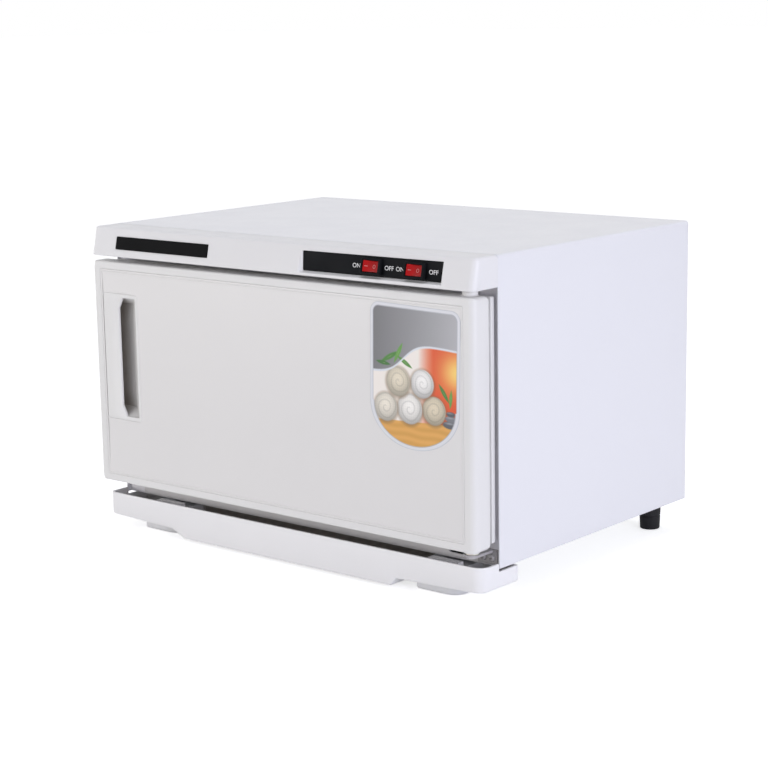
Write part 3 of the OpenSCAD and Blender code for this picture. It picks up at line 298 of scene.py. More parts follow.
def finish(name, one, other, rough=(0.35, 0.5), grain=0.0008, bump=0.15, radius=0.0005,
           edges=None, wear=0.4, drift=0.05, dusty=0.1, pull=None, painted_shade=None, **plain):
    """Colour = tone, worn edges over it, dust over that; normal = bump on a rounded edge.
    The optional tuple (reach, open, shut, colour) paints shade: it darkens the colour where the
    piece itself shades, weighed by an attribute if a fifth value names one. Whatever else is given
    goes straight on the shader."""
    material, tree, shader = blank(name)
    rim = use(tree, edge, {"Radius": radius})
    base = use(tree, tone, {"One": colour(*one), "Other": colour(*other), "Size": drift})[0]
    base = mix(tree, reckon(tree, "MULTIPLY", rim["Mask"], wear), base, colour(*(edges or one)))
    base = mix(tree, use(tree, dust, {"Amount": dusty})["Mask"], base, colour(*DUST_GREY))
    if painted_shade:
        shut = use(tree, crevice_shade, {"Reach": painted_shade[0], "Open": painted_shade[1], "Shut": painted_shade[2]})["Mask"]
        if len(painted_shade) > 4:
            weight = add(tree, "Attribute", attribute_name=painted_shade[4])["Fac"]
            shut = reckon(tree, "MULTIPLY", shut, weight)
        base = mix(tree, shut, base, colour(*painted_shade[3]))
    surface = use(tree, lines, {"Pull": pull}) if pull else use(tree, skin, {"Size": grain})
    feed(tree, shader, {"Base Color": base,
                        "Roughness": remap(tree, surface["Mottle"], (0.3, 0.7), rough),
                        "Normal": relief(tree, surface["Height"], bump, rim["Normal"])})
    feed(tree, shader, {socket.replace("_", " "): value for socket, value in plain.items()})
    return material


print("finish recipe ready")

# %% [markdown]
# ## The cabinet's finishes
# White paint and white plastic look alike in a picture, but paint on sheet is glossier and
# has a fine orange peel, while the moulded parts are softer. The frame under the door is
# greyer. What a family of finishes shares is written once, and each finish then says only
# how it differs, mostly by its two tones and its edges.

# %% White and grey paints
GLOSS_COAT = dict(wear=0.5, drift=0.16, Coat_Weight=0.2)
SATIN_COAT = dict(rough=(0.4, 0.55), grain=0.0009, bump=0.12, radius=0.0004)
paint = finish("cabinet_paint", (229, 229, 233), (226, 226, 230), edges=(238, 238, 241),
               rough=(0.3, 0.38), grain=0.0011, bump=0.08, radius=0.0008, dusty=0.06,
               Coat_Roughness=0.2, **GLOSS_COAT)
door_paint = finish("door_paint", (225, 223, 222), (222, 220, 219), edges=(238, 238, 238),
                    rough=(0.29, 0.36), grain=0.0009, bump=0.07, dusty=0.03,
                    Coat_Roughness=0.25, **GLOSS_COAT)
frame_paint = finish("frame_paint", (222, 220, 221), (217, 215, 217), edges=(220, 218, 218),
                     **SATIN_COAT)
# The uprights' paint is lighter and bluer than the frame's, so the shaded gap beside the door
# reads lighter: painted light.
upright_lightened_paint = finish("upright_lightened_paint", (242, 240, 245), (238, 236, 241),
                       edges=(238, 237, 238), **SATIN_COAT)
print("paints:", paint.name, door_paint.name, frame_paint.name, upright_lightened_paint.name)

# %% Moulded plastics, rubber and ceramic
MOULDED = dict(rough=(0.34, 0.46), grain=0.0007, bump=0.1, radius=0.0006, wear=0.5, drift=0.07,
               dusty=0.05)
DARK = dict(rough=(0.45, 0.6), grain=0.0006, radius=0.0004, drift=0.02, dusty=0.03,
            Specular_IOR_Level=0.05)
moulding = finish("white_moulding", (231, 230, 231), (226, 225, 226), edges=(240, 239, 240),
                  **MOULDED)
shell_moulding = finish("shell_moulding", (228, 227, 226), (223, 222, 221),
                        edges=(238, 237, 236), **MOULDED)
# The tray's moulding carries painted shade: its colour darkens inside, most in the well, where the
# tray shades itself.
tray_shaded_moulding = finish("tray_shaded_moulding", (240, 239, 240), (236, 235, 236),
                       painted_shade=(0.05, 0.9, 0.7, (168, 161, 155), "PaintedWellShade"), **MOULDED)
# The handle pocket's copy of the white moulding carries painted shade: its colour darkens where
# the pocket shades itself, most under the grip plate.
pocket_shaded_moulding = finish("pocket_shaded_moulding", (229, 228, 227), (224, 223, 222),
                         edges=(240, 239, 240), painted_shade=(0.02, 0.7, 0.25, (170, 164, 158)),
                         **MOULDED)
black = finish("black_moulding", (10, 10, 12), (7, 7, 9), edges=(40, 40, 44), **DARK)
plate_black = finish("plate_black", (23, 24, 27), (18, 19, 22), edges=(52, 54, 56), **DARK)
red = finish("red_moulding", (178, 10, 14), (158, 7, 11), edges=(196, 30, 28),
             rough=(0.25, 0.35), grain=0.0005, bump=0.05, radius=0.0003, drift=0.004,
             dusty=0.02, Specular_IOR_Level=0.2)
mark_ink = finish("mark_ink", (232, 160, 158), (220, 146, 144), rough=(0.35, 0.6),
                  grain=0.0003, bump=0.05, radius=0.0003, drift=0.002, dusty=0.0)
foot_grey = finish("grey_moulding", (232, 232, 234), (226, 226, 228), edges=(240, 240, 240),
                   rough=(0.45, 0.6), bump=0.2, radius=0.0006, drift=0.03, dusty=0.08)
foot_black = finish("black_rubber", (24, 23, 27), (18, 17, 20), edges=(48, 46, 50),
                    rough=(0.6, 0.8), grain=0.0006, bump=0.3, drift=0.01, dusty=0.12,
                    Specular_IOR_Level=0.25)
gasket_white = finish("gasket_rubber", (236, 236, 234), (228, 228, 226),
                      edges=(242, 242, 241), rough=(0.5, 0.62), grain=0.0006, radius=0.0004,
                      wear=0.3, drift=0.03, dusty=0.04)
nylon = finish("natural_nylon", (232, 228, 214), (224, 219, 203), edges=(240, 237, 226),
               grain=0.0006, bump=0.1, radius=0.0004, wear=0.3, drift=0.01, dusty=0.05,
               Subsurface_Weight=0.2, Subsurface_Scale=0.002)
ceramic = finish("pale_ceramic", (236, 232, 222), (226, 221, 210), edges=(242, 239, 231),
                 rough=(0.3, 0.5), grain=0.0004, bump=0.1, radius=0.0004, wear=0.3,
                 drift=0.008, dusty=0.08)
print("materials in the file, with the CAD's own:", len(bpy.data.materials))

# %% [markdown]
# Metals differ by their lines. The liner's run across, the lamp caps' run round, plain steel
# has short ones, and wire is too thin to show any. The magnets and the door's foam core are
# dull and coarse.

# %% Metals, magnets and the foam core
METAL = dict(Metallic=1.0)
steel = finish("plain_steel", (176, 176, 178), (158, 158, 161), edges=(214, 214, 216),
               rough=(0.25, 0.42), bump=0.12, radius=0.0003, wear=0.6,
               pull=(400.0, 400.0, 3000.0), **METAL)
bright = finish("bright_wire", (206, 206, 208), (190, 190, 193), edges=(226, 226, 228),
                rough=(0.14, 0.26), grain=0.0006, bump=0.05, radius=0.0003, wear=0.5,
                drift=0.02, dusty=0.05, **METAL)
liner = finish("liner_aluminium", (196, 197, 200), (184, 185, 188), edges=(222, 222, 224),
               rough=(0.28, 0.42), bump=0.1, radius=0.0004, pull=(15.0, 1600.0, 1600.0),
               **METAL)
cap_metal = finish("cap_aluminium", (190, 191, 194), (176, 177, 180), rough=(0.25, 0.4),
                   bump=0.1, radius=0.0003, pull=(2500.0, 60.0, 60.0), **METAL)
bracket = finish("bracket_steel", (172, 169, 171), (164, 161, 163), edges=(112, 80, 66),
                 rough=(0.45, 0.6), grain=0.0007, bump=0.2, radius=0.0004, wear=0.7,
                 drift=0.01, Specular_IOR_Level=0.3)
ferrite = finish("magnet_ferrite", (60, 60, 64), (50, 50, 54), edges=(92, 92, 96),
                 rough=(0.5, 0.7), grain=0.0004, bump=0.35, radius=0.0003, drift=0.006)
foam = finish("foam_core", (236, 226, 184), (222, 208, 160), edges=(240, 232, 198),
              rough=(0.8, 0.95), grain=0.0012, bump=0.7, radius=0.0006, wear=0.3, drift=0.02,
              dusty=0.02)
print("materials in the file, with the CAD's own:", len(bpy.data.materials))

# %% [markdown]
# ## Three finishes of their own
# Zinc sheet freezes in flat crystals, so its grey and its gloss change from cell to cell.
# The fibre blanket is a felt: long soft strands over small tufts. Lamp glass is clear, with
# plain transmission, and only its surface wanders a little.

# %% Zinc spangle
zinc, tree, shader = blank("zinc_steel")
where = add(tree, "TexCoord")["Object"]
crystal = add(tree, "TexVoronoi", {"Vector": where, "Scale": 160.0})["Color"]
shade = add(tree, "SeparateColor", {0: crystal})[0]
rim = use(tree, edge, {"Radius": 0.0003})
base = mix(tree, shade, colour(182, 184, 187), colour(160, 162, 166))
feed(tree, shader, {"Base Color": mix(tree, rim["Mask"], base, colour(210, 211, 213)),
                    "Roughness": remap(tree, shade, target=(0.3, 0.5)),
                    "Normal": relief(tree, shade, 0.1, rim["Normal"]), "Metallic": 1.0})
print("made", zinc.name)

# %% Fibre blanket
blanket, tree, shader = blank("blanket_fibre")
where = add(tree, "TexCoord")["Object"]
strand = add(tree, "TexNoise", {"Vector": where, "Scale": 260.0, "Detail": 6.0,
                                "Distortion": 2.5})[0]
tuft = add(tree, "TexNoise", {"Vector": where, "Scale": 45.0, "Detail": 3.0})[0]
felt = reckon(tree, "MULTIPLY", strand, tuft)
feed(tree, shader, {"Base Color": mix(tree, felt, colour(226, 214, 176), colour(244, 236, 208)),
                    "Roughness": remap(tree, tuft, target=(0.8, 1.0)),
                    "Normal": relief(tree, felt, 0.9, depth=0.001), "Sheen Weight": 0.3})
print("made", blanket.name)

# %% Lamp glass
glass, tree, shader = blank("lamp_glass")
draw = use(tree, lines, {"Pull": (12.0, 200.0, 200.0)})
feed(tree, shader, {"Base Color": (0.93, 0.96, 1.0, 1.0), "IOR": 1.47,
                    "Transmission Weight": 1.0,
                    "Roughness": remap(tree, draw["Mottle"], target=(0.02, 0.08)),
                    "Normal": relief(tree, draw["Height"], 0.05)})
print("made", glass.name)

# %% [markdown]
# ## Put the finishes on the CAD nodes
# A CAD node keeps its mesh. Only the material in its slots changes, so a look can be swapped
# later without touching the model.

# %% Finish for each CAD node
FINISHES = {
    paint: "housing_wrap back_panel",
    frame_paint: "front_frame hinge_screws",
    upright_lightened_paint: "left_upright right_upright",
    zinc: "base_plate component_shelf",
    liner: "chamber_liner heater_plate",
    blanket: "insulation",
    moulding: "top_fascia door_shell door_inner_pan handle_insert drip_tray",
    door_paint: "door_face_panel door_label",
    black: "name_badge switch_label heater_switch_body lamp_switch_body interlock_body "
           "cable_gland",
    red: "heater_rocker lamp_rocker interlock_plunger",
    foam: "door_foam",
    gasket_white: "door_gasket",
    steel: "strike_plates upper_hinge_pin lower_hinge_pin back_screws foot_screws ballast "
           "thermal_fuse",
    bracket: "upper_hinge_bracket lower_hinge_bracket",
    ferrite: "catch_magnets",
    nylon: "hinge_bushes hinge_washers terminal_block",
    foot_grey: "front_foot_left front_foot_right",
    foot_black: "rear_foot_left rear_foot_right",
    glass: "lamp_tube",
    cap_metal: "lamp_caps starter",
    ceramic: "lamp_holders thermostat",
    bright: "lamp_guard towel_rack",
}
dressed = 0
for material, names in FINISHES.items():
    for name in names.split():
        parts[name].data.materials.clear()
        parts[name].data.materials.append(material)
        dressed += 1
print("CAD nodes dressed:", dressed, "of", len(parts))

# %% [markdown]
# ## Skins from rings
# Most new pieces are a row of rings with a skin over them: a wire is circles along a path,
# a moulded frame is rounded rectangles that step outwards and back. The rings are one numpy
# array, and the faces come from counting, so no vertex is placed by hand.

# %% Loft and wire
def outward(points, quads, tris, flats=()):
    """Turn all faces round if the volume, a sum of corner products over six, is negative."""
    a, b, c = (points[quads[:, k]] for k in (0, 1, 2))
    d = points[quads[:, 3]]
    volume = np.sum(a * np.cross(b, c)) + np.sum(a * np.cross(c, d))
    if len(tris):
        a, b, c = (points[tris[:, k]] for k in (0, 1, 2))
        volume += np.sum(a * np.cross(b, c))
    faces = quads.tolist() + tris.tolist() + list(flats)
    return points, [f[::-1] for f in faces] if volume < 0 else faces


def loft(rings, ends="caps"):
    """Quad (i, j) joins ring i and i + 1 at points j and j + 1; a cap is a fan to the mean,
    a flat end is one face with as many corners as the ring."""
    rings = np.asarray(rings, float)
    n, m = rings.shape[:2]
    points = rings.reshape(-1, 3)
    i, j = np.meshgrid(np.arange(n if ends == "loop" else n - 1), np.arange(m), indexing="ij")
    low, high, beside = i * m, (i + 1) % n * m, (j + 1) % m
    quads = np.stack([low + j, low + beside, high + beside, high + j], -1).reshape(-1, 4)
    tris = np.zeros((0, 3), int)
    if ends == "caps":
        k, first, last = np.arange(m), (n - 1) * m, n * m
        points = np.vstack([points, rings[0].mean(0), rings[-1].mean(0)])
        tris = np.concatenate([np.stack([(k + 1) % m, k, last + 0 * k], -1),
                               np.stack([first + k, first + (k + 1) % m, last + 1 + 0 * k], -1)])
    flats = []
    if ends == "flat":
        flats = [list(range(m))[::-1], list(range((n - 1) * m, n * m))]
    return outward(points, quads, tris, flats)


def tube(path, radius, side, sides=12, loop=False):
    """Wire: ring = path point + r (cos t side + sin t across), across = side x direction."""
    path, side = np.asarray(path, float), np.asarray(side, float)
    ahead = np.roll(path, -1, 0) - np.roll(path, 1, 0) if loop else np.gradient(path, axis=0)
    across = np.cross(side, ahead)
    across /= np.linalg.norm(across, axis=1, keepdims=True)
    t = np.linspace(0, 2 * np.pi, sides, endpoint=False)[None, :, None]
    r = np.broadcast_to(radius, len(path))[:, None, None]
    rings = path[:, None] + r * (np.cos(t) * side + np.sin(t) * across[:, None])
    return loft(rings, "loop" if loop else "caps")


print("a plain wire has", len(tube([[0, 0, 0], [9, 0, 0]], 1, (0, 0, 1))[1]), "faces")

# %% [markdown]
# Shapes that are one piece are stacked into one mesh. A piece stays at the origin, rides the
# body that it moves with, and may stand in for CAD nodes, which then hide in the picture.

# %% Stack shapes and make a piece
def together(pieces):
    """Stack meshes: each piece's face numbers move up by the points before it."""
    points, faces, start = [], [], 0
    for own_points, own_faces in pieces:
        points.append(own_points)
        faces += [[corner + start for corner in face] for face in own_faces]
        start += len(own_points)
    return np.vstack(points), faces


def piece(name, shape, material, body, replaces=(), sharp=32):
    """Put points and faces in a mesh, smooth it up to an angle, and let it ride a body."""
    points, faces = shape
    mesh = bpy.data.meshes.new(name)
    mesh.from_pydata(put(points).tolist(), [], faces)
    mesh.shade_smooth()
    mesh.set_sharp_from_angle(angle=math.radians(sharp))
    mesh.materials.append(material)
    made = stand(name, mesh)
    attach(made, body)
    if replaces:
        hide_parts(*replaces)
    print(name, len(points), "points on", body)
    return made


print("two wires together:", len(together([tube([[0, 0, 0], [9, 0, 0]], 1, (0, 0, 1))] * 2)[0]),
      "points")

# %% [markdown]
# Nearly every moulded edge here is a rounded rectangle, upright or lying flat. Its four
# corners are arcs, and each point knows how far it belongs to an upright side. Sizes come
# from the CAD nodes' boxes and are made larger or smaller from there.

# %% Rounded rectangles
def round_frame(x0, x1, z0, z1, r, n=6):
    """Rounded rectangle: corner + r (inwards + (cos a, sin a)); share is cos a squared. r is
    one radius, or a column of four that starts at the upper right corner and goes left."""
    a = np.radians(np.linspace(0, 90, n + 1) + np.array([[0], [90], [180], [270]]))
    x = np.array([[x1], [x0], [x0], [x1]]) + r * (np.array([[-1], [1], [1], [-1]]) + np.cos(a))
    z = np.array([[z1], [z1], [z0], [z0]]) + r * (np.array([[-1], [-1], [1], [1]]) + np.sin(a))
    return x.ravel(), z.ravel(), (np.cos(a) ** 2).ravel()


def ring_at(y, x0, x1, z0, z1, r, n=6):
    """A rounded rectangle standing upright at depth y."""
    x, z, _ = round_frame(x0, x1, z0, z1, r, n)
    return np.stack([x, np.broadcast_to(y, x.shape), z], -1)


def plan_ring(z, x0, x1, y0, y1, r):
    """A rounded rectangle lying flat at height z."""
    x, y, _ = round_frame(x0, x1, y0, y1, r)
    return np.stack([x, y, np.broadcast_to(z, x.shape)], -1)


def front_of(name):
    """x0, x1, z0 and z1 of a CAD node seen from the front, in drawing millimetres."""
    low, high = span(name)
    return low[0], high[0], low[2], high[2]


def grown(edges, by, up=None):
    """The rectangle made larger by some millimetres all round, or by up in height."""
    x0, x1, z0, z1 = edges
    up = by if up is None else up
    return x0 - by, x1 + by, z0 - up, z1 + up


print("the door panel from the front:", front_of("door_face_panel"))

# %% [markdown]
# ## Door face panel
# The panel is a flat sheet that lies in the moulded shell. A shallow groove runs just inside
# its edge, which the light draws as a fine double line, and a low rolled lip runs round the
# hole for the handle. Rings step from the hole out to the rim and back behind, so the sheet
# has its real thickness.

# %% Rings of the door panel
FACE = span("door_face_panel")[0][1]
PANEL = front_of("door_face_panel")
INSERT = front_of("handle_insert")
GAP = 0.3
HOLE = grown(INSERT, GAP)


def panel_ring(inset, y):
    """The panel's rim moved in by inset, at depth y."""
    return ring_at(y, *grown(PANEL, -inset), max(1.9 - 0.6 * inset, 0.4))


def handle_ring(grow, y):
    """The handle's hole made larger by grow, at depth y."""
    return ring_at(y, *grown(HOLE, grow), 3.15 + grow)


lip_steps = ((0, 0.8), (0, 0.1), (0.15, -0.05), (0.7, -0.12), (1.3, -0.08), (1.6, 0), (1.9, 0))
rim_steps = ((3.2, 0), (2.6, 0), (2.3, 0.22), (1.7, 0.22), (1.4, -0.02), (0.5, -0.05),
             (0.12, 0.08), (0, 0.3), (0, 0.8))
panel_rings = [handle_ring(grow, FACE + y) for grow, y in lip_steps]
panel_rings += [panel_ring(inset, FACE + y) for inset, y in rim_steps]
# At the left the hole nearly meets the groove, so the four rings between them stop in turn.
for k, before in ((5, 0.1), (6, 0.07), (7, 0.03), (8, 0)):
    panel_rings[k][:, 0] = np.maximum(panel_rings[k][:, 0], HOLE[0] - before)
piece("door_panel_skin", loft(panel_rings, "loop"), door_paint, "door", ["door_face_panel"])

# %% [markdown]
# ## Door shell
# The shell is the moulded frame of the door. Its upright edges have a wide round and its
# upper and lower edges a small one, so a ring's depth is blended from the two by how far a
# point belongs to the upright side. Two bosses carry the hinge bushes.

# %% Rings of the door shell and its hinge bosses
BOSS_HIGH = 3.4
HINGE_X, HINGE_Y, _ = span("hinge_bushes").mean(0)
DOOR = grown(front_of("door_shell"), 0, -BOSS_HIGH)
PAN = front_of("door_inner_pan")
SHELL_REAR = -12
SHELL_CORNERS = np.array([[3.4], [5.2], [5.2], [3.4]])


def shell_ring(turn, rear=False):
    """Edge turned by an angle: inset = R (1 - sin), depth = R (1 - cos), R by the share."""
    wide, small = (1.0, 5.0) if rear else (6.0, 1.6)
    inward, back_by = 1 - math.sin(turn), 1 - math.cos(turn)
    x, z, share = round_frame(*grown(DOOR, -wide * inward, -small * inward), SHELL_CORNERS)
    depth = (wide * share + small * (1 - share)) * back_by
    return np.stack([x, SHELL_REAR - depth if rear else FACE + depth, z], -1)


shell_rings = [handle_ring(0, FACE + y) for y in (3.0, 0.9)]
shell_rings += [ring_at(FACE + y, *grown(PANEL, GAP + g), 2.0 + g)
                for g, y in ((-0.28, 0.9), (-0.28, 0.4), (-0.14, 0.1), (0.1, 0), (0.5, 0))]
shell_rings += [ring_at(FACE, *grown(DOOR, -6.4, -2.9), 3.4)]
shell_rings += [shell_ring(t) for t in np.radians([0, 12, 26, 40, 54, 68, 80, 90])]
shell_rings += [shell_ring(t, True) for t in np.radians([90, 70, 50, 30, 23.6])]
shell_rings += [ring_at(y, *grown(PAN, 0.3, 0.2), 2) for y in (-12.42, FACE + 3.0)]


def turned(profile, centre, axis="z", sides=48):
    """Lathe: a point (r, h) becomes centre + (r cos t, r sin t, h) with h along the axis."""
    r, h = np.asarray(profile, float).T
    t = np.linspace(0, 2 * np.pi, sides, endpoint=False)[:, None]
    a, b, along = r * np.cos(t), r * np.sin(t), np.broadcast_to(h, (sides, len(h)))
    order = {"z": (a, b, along), "y": (a, along, b), "x": (along, a, b)}[axis]
    return np.stack(order, -1) + np.asarray(centre, float)


def boss(z0, out):
    """Hinge boss: bore, rounded rim, wall and foot, turned round the hinge axis."""
    profile = [(4.6, -6 * out), (4.6, 3.1 * out), (4.9, 3.4 * out), (6.0, 3.4 * out),
               (6.35, 3.25 * out), (6.5, 2.9 * out), (6.5, 0.6 * out), (6.9, 0.1 * out),
               (7.2, -0.4 * out), (7.2, -6 * out)]
    return loft(turned(profile, (HINGE_X, HINGE_Y, z0)), "loop")


shell = together([loft(shell_rings, "loop"), boss(DOOR[3], 1), boss(DOOR[2], -1)])
piece("door_shell_skin", shell, shell_moulding, "door", ["door_shell"])

# %% [markdown]
# ## Handle pocket
# Fingers enter a slot whose left corners are cut off, and hook behind the grip plate on the
# left. From the right lip the floor slopes inwards, and both ends slant too. The rings go
# from the pocket's floor to the slot, over the front plate and back round the outside.

# %% Rings of the handle pocket
SLOT = (-190.65, -168.45, 84.65, 196.95)
FLOOR_Y, FLOOR_LEFT = -18.5, -207.95
INSERT_REAR = span("handle_insert")[1][1]


def slot_ring(y, left, right, low, high, cut_x=5.6, cut_z=10.0, r=1.5):
    """Slot outline with two cut left corners and two small rounds at the right."""
    t = np.linspace(0, 1, 7)
    a = np.radians(90 * t)
    x = np.concatenate([right - r + r * np.cos(a), left + cut_x * (1 - t), left + cut_x * t,
                        right - r + r * np.sin(a)])
    z = np.concatenate([high - r + r * np.sin(a), high - cut_z * t, low + cut_z * (1 - t),
                        low + r - r * np.cos(a)])
    return np.stack([x, np.full(28, float(y)), z], -1)


def pocket_ring(t):
    """Inside the pocket, t = 0 at the floor and 1 behind the grip plate."""
    return slot_ring(FLOOR_Y - 11.6 * t, FLOOR_LEFT + 2.5 * (1 - t) ** 4,
                     SLOT[1] - 18.2 * (1 - t), SLOT[2] + 7 * (1 - t), SLOT[3] - 7 * (1 - t),
                     2.5, 3.0)


handle_rings = [pocket_ring(t) for t in (0, 0.06, 0.2, 0.4, 0.6, 0.8, 1.0)]
handle_rings += [slot_ring(FACE + y, *grown(SLOT, g))
                 for g, y in ((0, 2.38), (0, 0.5), (0.12, 0.2), (0.45, 0))]
handle_rings += [ring_at(y, *grown(INSERT, 0.25 - g), 3.0)
                 for g, y in ((0.3, FACE), (0.08, FACE + 0.08), (0, FACE + 0.3), (0, INSERT_REAR))]
piece("handle_pocket", loft(handle_rings), pocket_shaded_moulding, "door", ["handle_insert"])

# %% [markdown]
# ## Leaning fascia
# The fascia is lofted from side to side. At each station the section is one loop: underside,
# leaning face, top, and back inside the wall. Formulas change the section on the way: the
# corner round takes the face back at the ends, and two windows let the badge and the switch
# plate in. The switch plate leans less than the face, so its window is deeper below. Inside
# that window two holes go right through for the switch bodies. Their edges lie on stations
# and lines of the loft, so cells are taken out and walls are put in their place.

# %% Windows, holes and how deep the face lies
MID_S = 13.244
BADGE = (*span("name_badge")[:, 0], MID_S - 6, MID_S + 6)
PLATE = (40.0, span("switch_label")[1][0], 4.844, 21.644)
PLATE_TALL = PLATE[3] - PLATE[2]
FOOT_S = 2.6
SWITCHES = [(kind + "_rocker", span(kind + "_switch_body")[:, 0].mean())
            for kind in ("heater", "lamp")]
HOLE_X, HOLE_S = 9.15, (MID_S - 5.85, MID_S + 5.85)
CORNER = 6


def plate_depth(s):
    """Depth of the switch plate behind the leaning face: 0.5 at its top, 3.5 at its foot."""
    return 0.5 + 3.0 * (PLATE[3] - s) / PLATE_TALL


def face_depth(x, s):
    """Corner round R - sqrt(R^2 - run^2), plus the windows' depth; the switch window's left
    and lower walls slant."""
    run = np.clip(np.abs(x) - HALF_WIDTH + CORNER, 0, CORNER)
    depth = CORNER - np.sqrt(CORNER ** 2 - run ** 2)
    inside = (x >= BADGE[0]) & (x <= BADGE[1]) & (s >= BADGE[2]) & (s <= BADGE[3])
    depth = depth + np.where(inside, 0.4, 0)
    left = 36.6 + 2.4 * (s - PLATE[2]) / PLATE_TALL
    slant = np.clip((x - left) / (PLATE[0] - left), 0, 1) * np.clip((s - FOOT_S) / 2.2, 0, 1)
    inside = (x <= PLATE[1]) & (s <= PLATE[3])
    return depth + np.where(inside, slant * (plate_depth(s) + 0.5), 0)


def tilt(x, s):
    """The switch window's lower and upper edges rise to the right by 0.7 and 0.8."""
    share = np.clip((x - PLATE[0]) / (PLATE[1] - PLATE[0]), 0, 1)
    return s + share * np.where((s > 2.5) & (s < 5.1), 0.7, np.where((s > 21) & (s < 22), 0.8, 0))


def off_slope(points):
    """The way back from the drawing to the leaning face's x, depth and s."""
    y, z = points[:, 1] - FASCIA_FRONT, points[:, 2] - FASCIA_FOOT
    depth = y * math.cos(LEAN) - z * math.sin(LEAN)
    return points[:, 0], depth, y * math.sin(LEAN) + z * math.cos(LEAN)


print("switches at", SWITCHES)

# %% Sections of the fascia
ends = HALF_WIDTH - np.array([0, 0.12, 0.5, 1.2, 1.8, 2.4, 2.41, 3.2, 4.0, 5.0, 6, 7.5])
stations = np.sort(np.concatenate([
    -ends, [BADGE[0] - 0.1, BADGE[0], BADGE[1], BADGE[1] + 0.1],
    [35.6, 36.6, 37.4, 38.2, 39.0, 39.6, PLATE[0], 41.0], [PLATE[1], PLATE[1] + 0.1], ends,
    [middle + e for _, middle in SWITCHES for e in (-HOLE_X, HOLE_X)]]))
climb = [1.2, 2.2, FOOT_S, 3.4, 4.2, 4.8, 5.0, 7.15, BADGE[2], HOLE_S[0], 13.0, HOLE_S[1],
         BADGE[3], 19.34, PLATE[3], 21.74, 24.6, 25.6]
x, s = np.meshgrid(stations, climb, indexing="ij")
face = on_slope(x, face_depth(x, s), tilt(x, s))
corner = face_depth(stations, 0 * stations)


def side_lines(profile):
    """Lines with one y and z at every station; where the third value is 1, the line also
    goes back with the face's corner round."""
    return np.transpose([[stations, y + follows * corner, z + 0 * stations]
                         for y, z, follows in profile], (2, 0, 1))


WALL_FOOT, WALL_TOP = np.array([-28.5, 237.4]), np.array([-24.5, 259.2])
wall_s = off_slope(np.array([[0, *WALL_FOOT], [0, *WALL_TOP]]))[2]
through = [WALL_FOOT + (WALL_TOP - WALL_FOOT) * (s - wall_s[0]) / np.ptp(wall_s)
           for s in reversed(HOLE_S)]
below = [(0, FASCIA_FOOT, 0), (-32.3, FASCIA_FOOT, 1), (-33.1, FASCIA_FOOT + 0.3, 1)]
above = [(-27.4, FASCIA_TOP - 0.7, 1), (-26.7, FASCIA_TOP - 0.2, 1), (-25.6, FASCIA_TOP, 1),
         (-0.5, FASCIA_TOP, 0), (0, FASCIA_TOP - 0.4, 0)]
inner = [(0, WALL_TOP[1], 0), (*WALL_TOP, 1), *[(*edge_line, 1) for edge_line in through],
         (*WALL_FOOT, 1), (0, WALL_FOOT[1], 0)]
sections = np.concatenate([side_lines(below), face, side_lines(above + inner)], 1)
lift, low_lift = (r - np.sqrt(r * r - np.clip(np.abs(stations) - HALF_WIDTH + r, 0, r) ** 2)
                  for r in (4, 1.2))
sections[:, :, 2] = np.clip(sections[:, :, 2], FASCIA_FOOT + low_lift[:, None],
                            FASCIA_TOP - lift[:, None])
end_walls = HALF_WIDTH - np.abs(stations) < 2.405
sections[end_walls, -len(inner):, 1] = 0
print("fascia:", len(stations), "stations of", sections.shape[1], "points")


# %% Cut the holes for the switch bodies
def cut_through(shape, rows, low, behind):
    """Take out the cells between a hole's two stations, in front from row low and in the row
    behind, and close the hole with four walls from the front's edge to the back's."""
    points, faces = shape
    for _, middle in SWITCHES:
        a, b = (int(np.argmin(np.abs(stations - middle - e))) * rows for e in (-HOLE_X, HOLE_X))
        gone = [{a + j, a + j + 1, b + j, b + j + 1} for j in (low, low + 1, behind)]
        walls = [[b + low, a + low, a + behind + 1, b + behind + 1],
                 [a + low + 2, b + low + 2, b + behind, a + behind],
                 [a + low, a + low + 1, a + low + 2, a + behind, a + behind + 1],
                 [b + low + 2, b + low + 1, b + low, b + behind + 1, b + behind]]
        kept = [a + low, a + low + 1, b + low + 1, b + low] in faces
        faces = [f for f in faces if set(f) not in gone]
        faces += walls if kept else [w[::-1] for w in walls]
    return points, faces


hole_row = len(below) + climb.index(HOLE_S[0])
behind_row = sections.shape[1] - len(inner) + 2
fascia = cut_through(loft(sections), sections.shape[1], hole_row, behind_row)
piece("fascia_skin", fascia, moulding, "cabinet", ["top_fascia"], 45)

# %% [markdown]
# ## Switch plate and its words
# The plate is the CAD label, copied, merged and tipped into the window, so it keeps the two
# holes for the switch bodies. ON and OFF are text objects that are turned into meshes, laid
# on the plate point by point and given a printed thickness of a few hundredths.

# %% Tip the switch plate
def merged_copy(name):
    """Points in drawing millimetres and faces of a CAD node, doubles merged, flats joined."""
    work = bmesh.new()
    work.from_mesh(parts[name].data)
    bmesh.ops.remove_doubles(work, verts=work.verts, dist=1e-6)
    bmesh.ops.dissolve_limit(work, angle_limit=math.radians(0.5), verts=work.verts,
                             edges=work.edges)
    points = np.array([v.co for v in work.verts]).reshape(-1, 3)
    faces = [[v.index for v in f.verts] for f in work.faces]
    work.free()
    return (points - FRONT_EDGE) * 1000, faces


points, faces = merged_copy("switch_label")
x, depth, s = off_slope(points)
# The left edge moves out by 2.25, and the lower edge follows the window's foot.
x = np.where(x < 50, x - 2.25, x)
s = np.where(s < 6, PLATE[2] + 0.106 + (s - PLATE[2]) * 0.9, s)
plate = on_slope(x, depth - 0.2 + plate_depth(s), tilt(x, s))
piece("switch_plate", (plate, faces), plate_black, "cabinet", ["switch_label"])

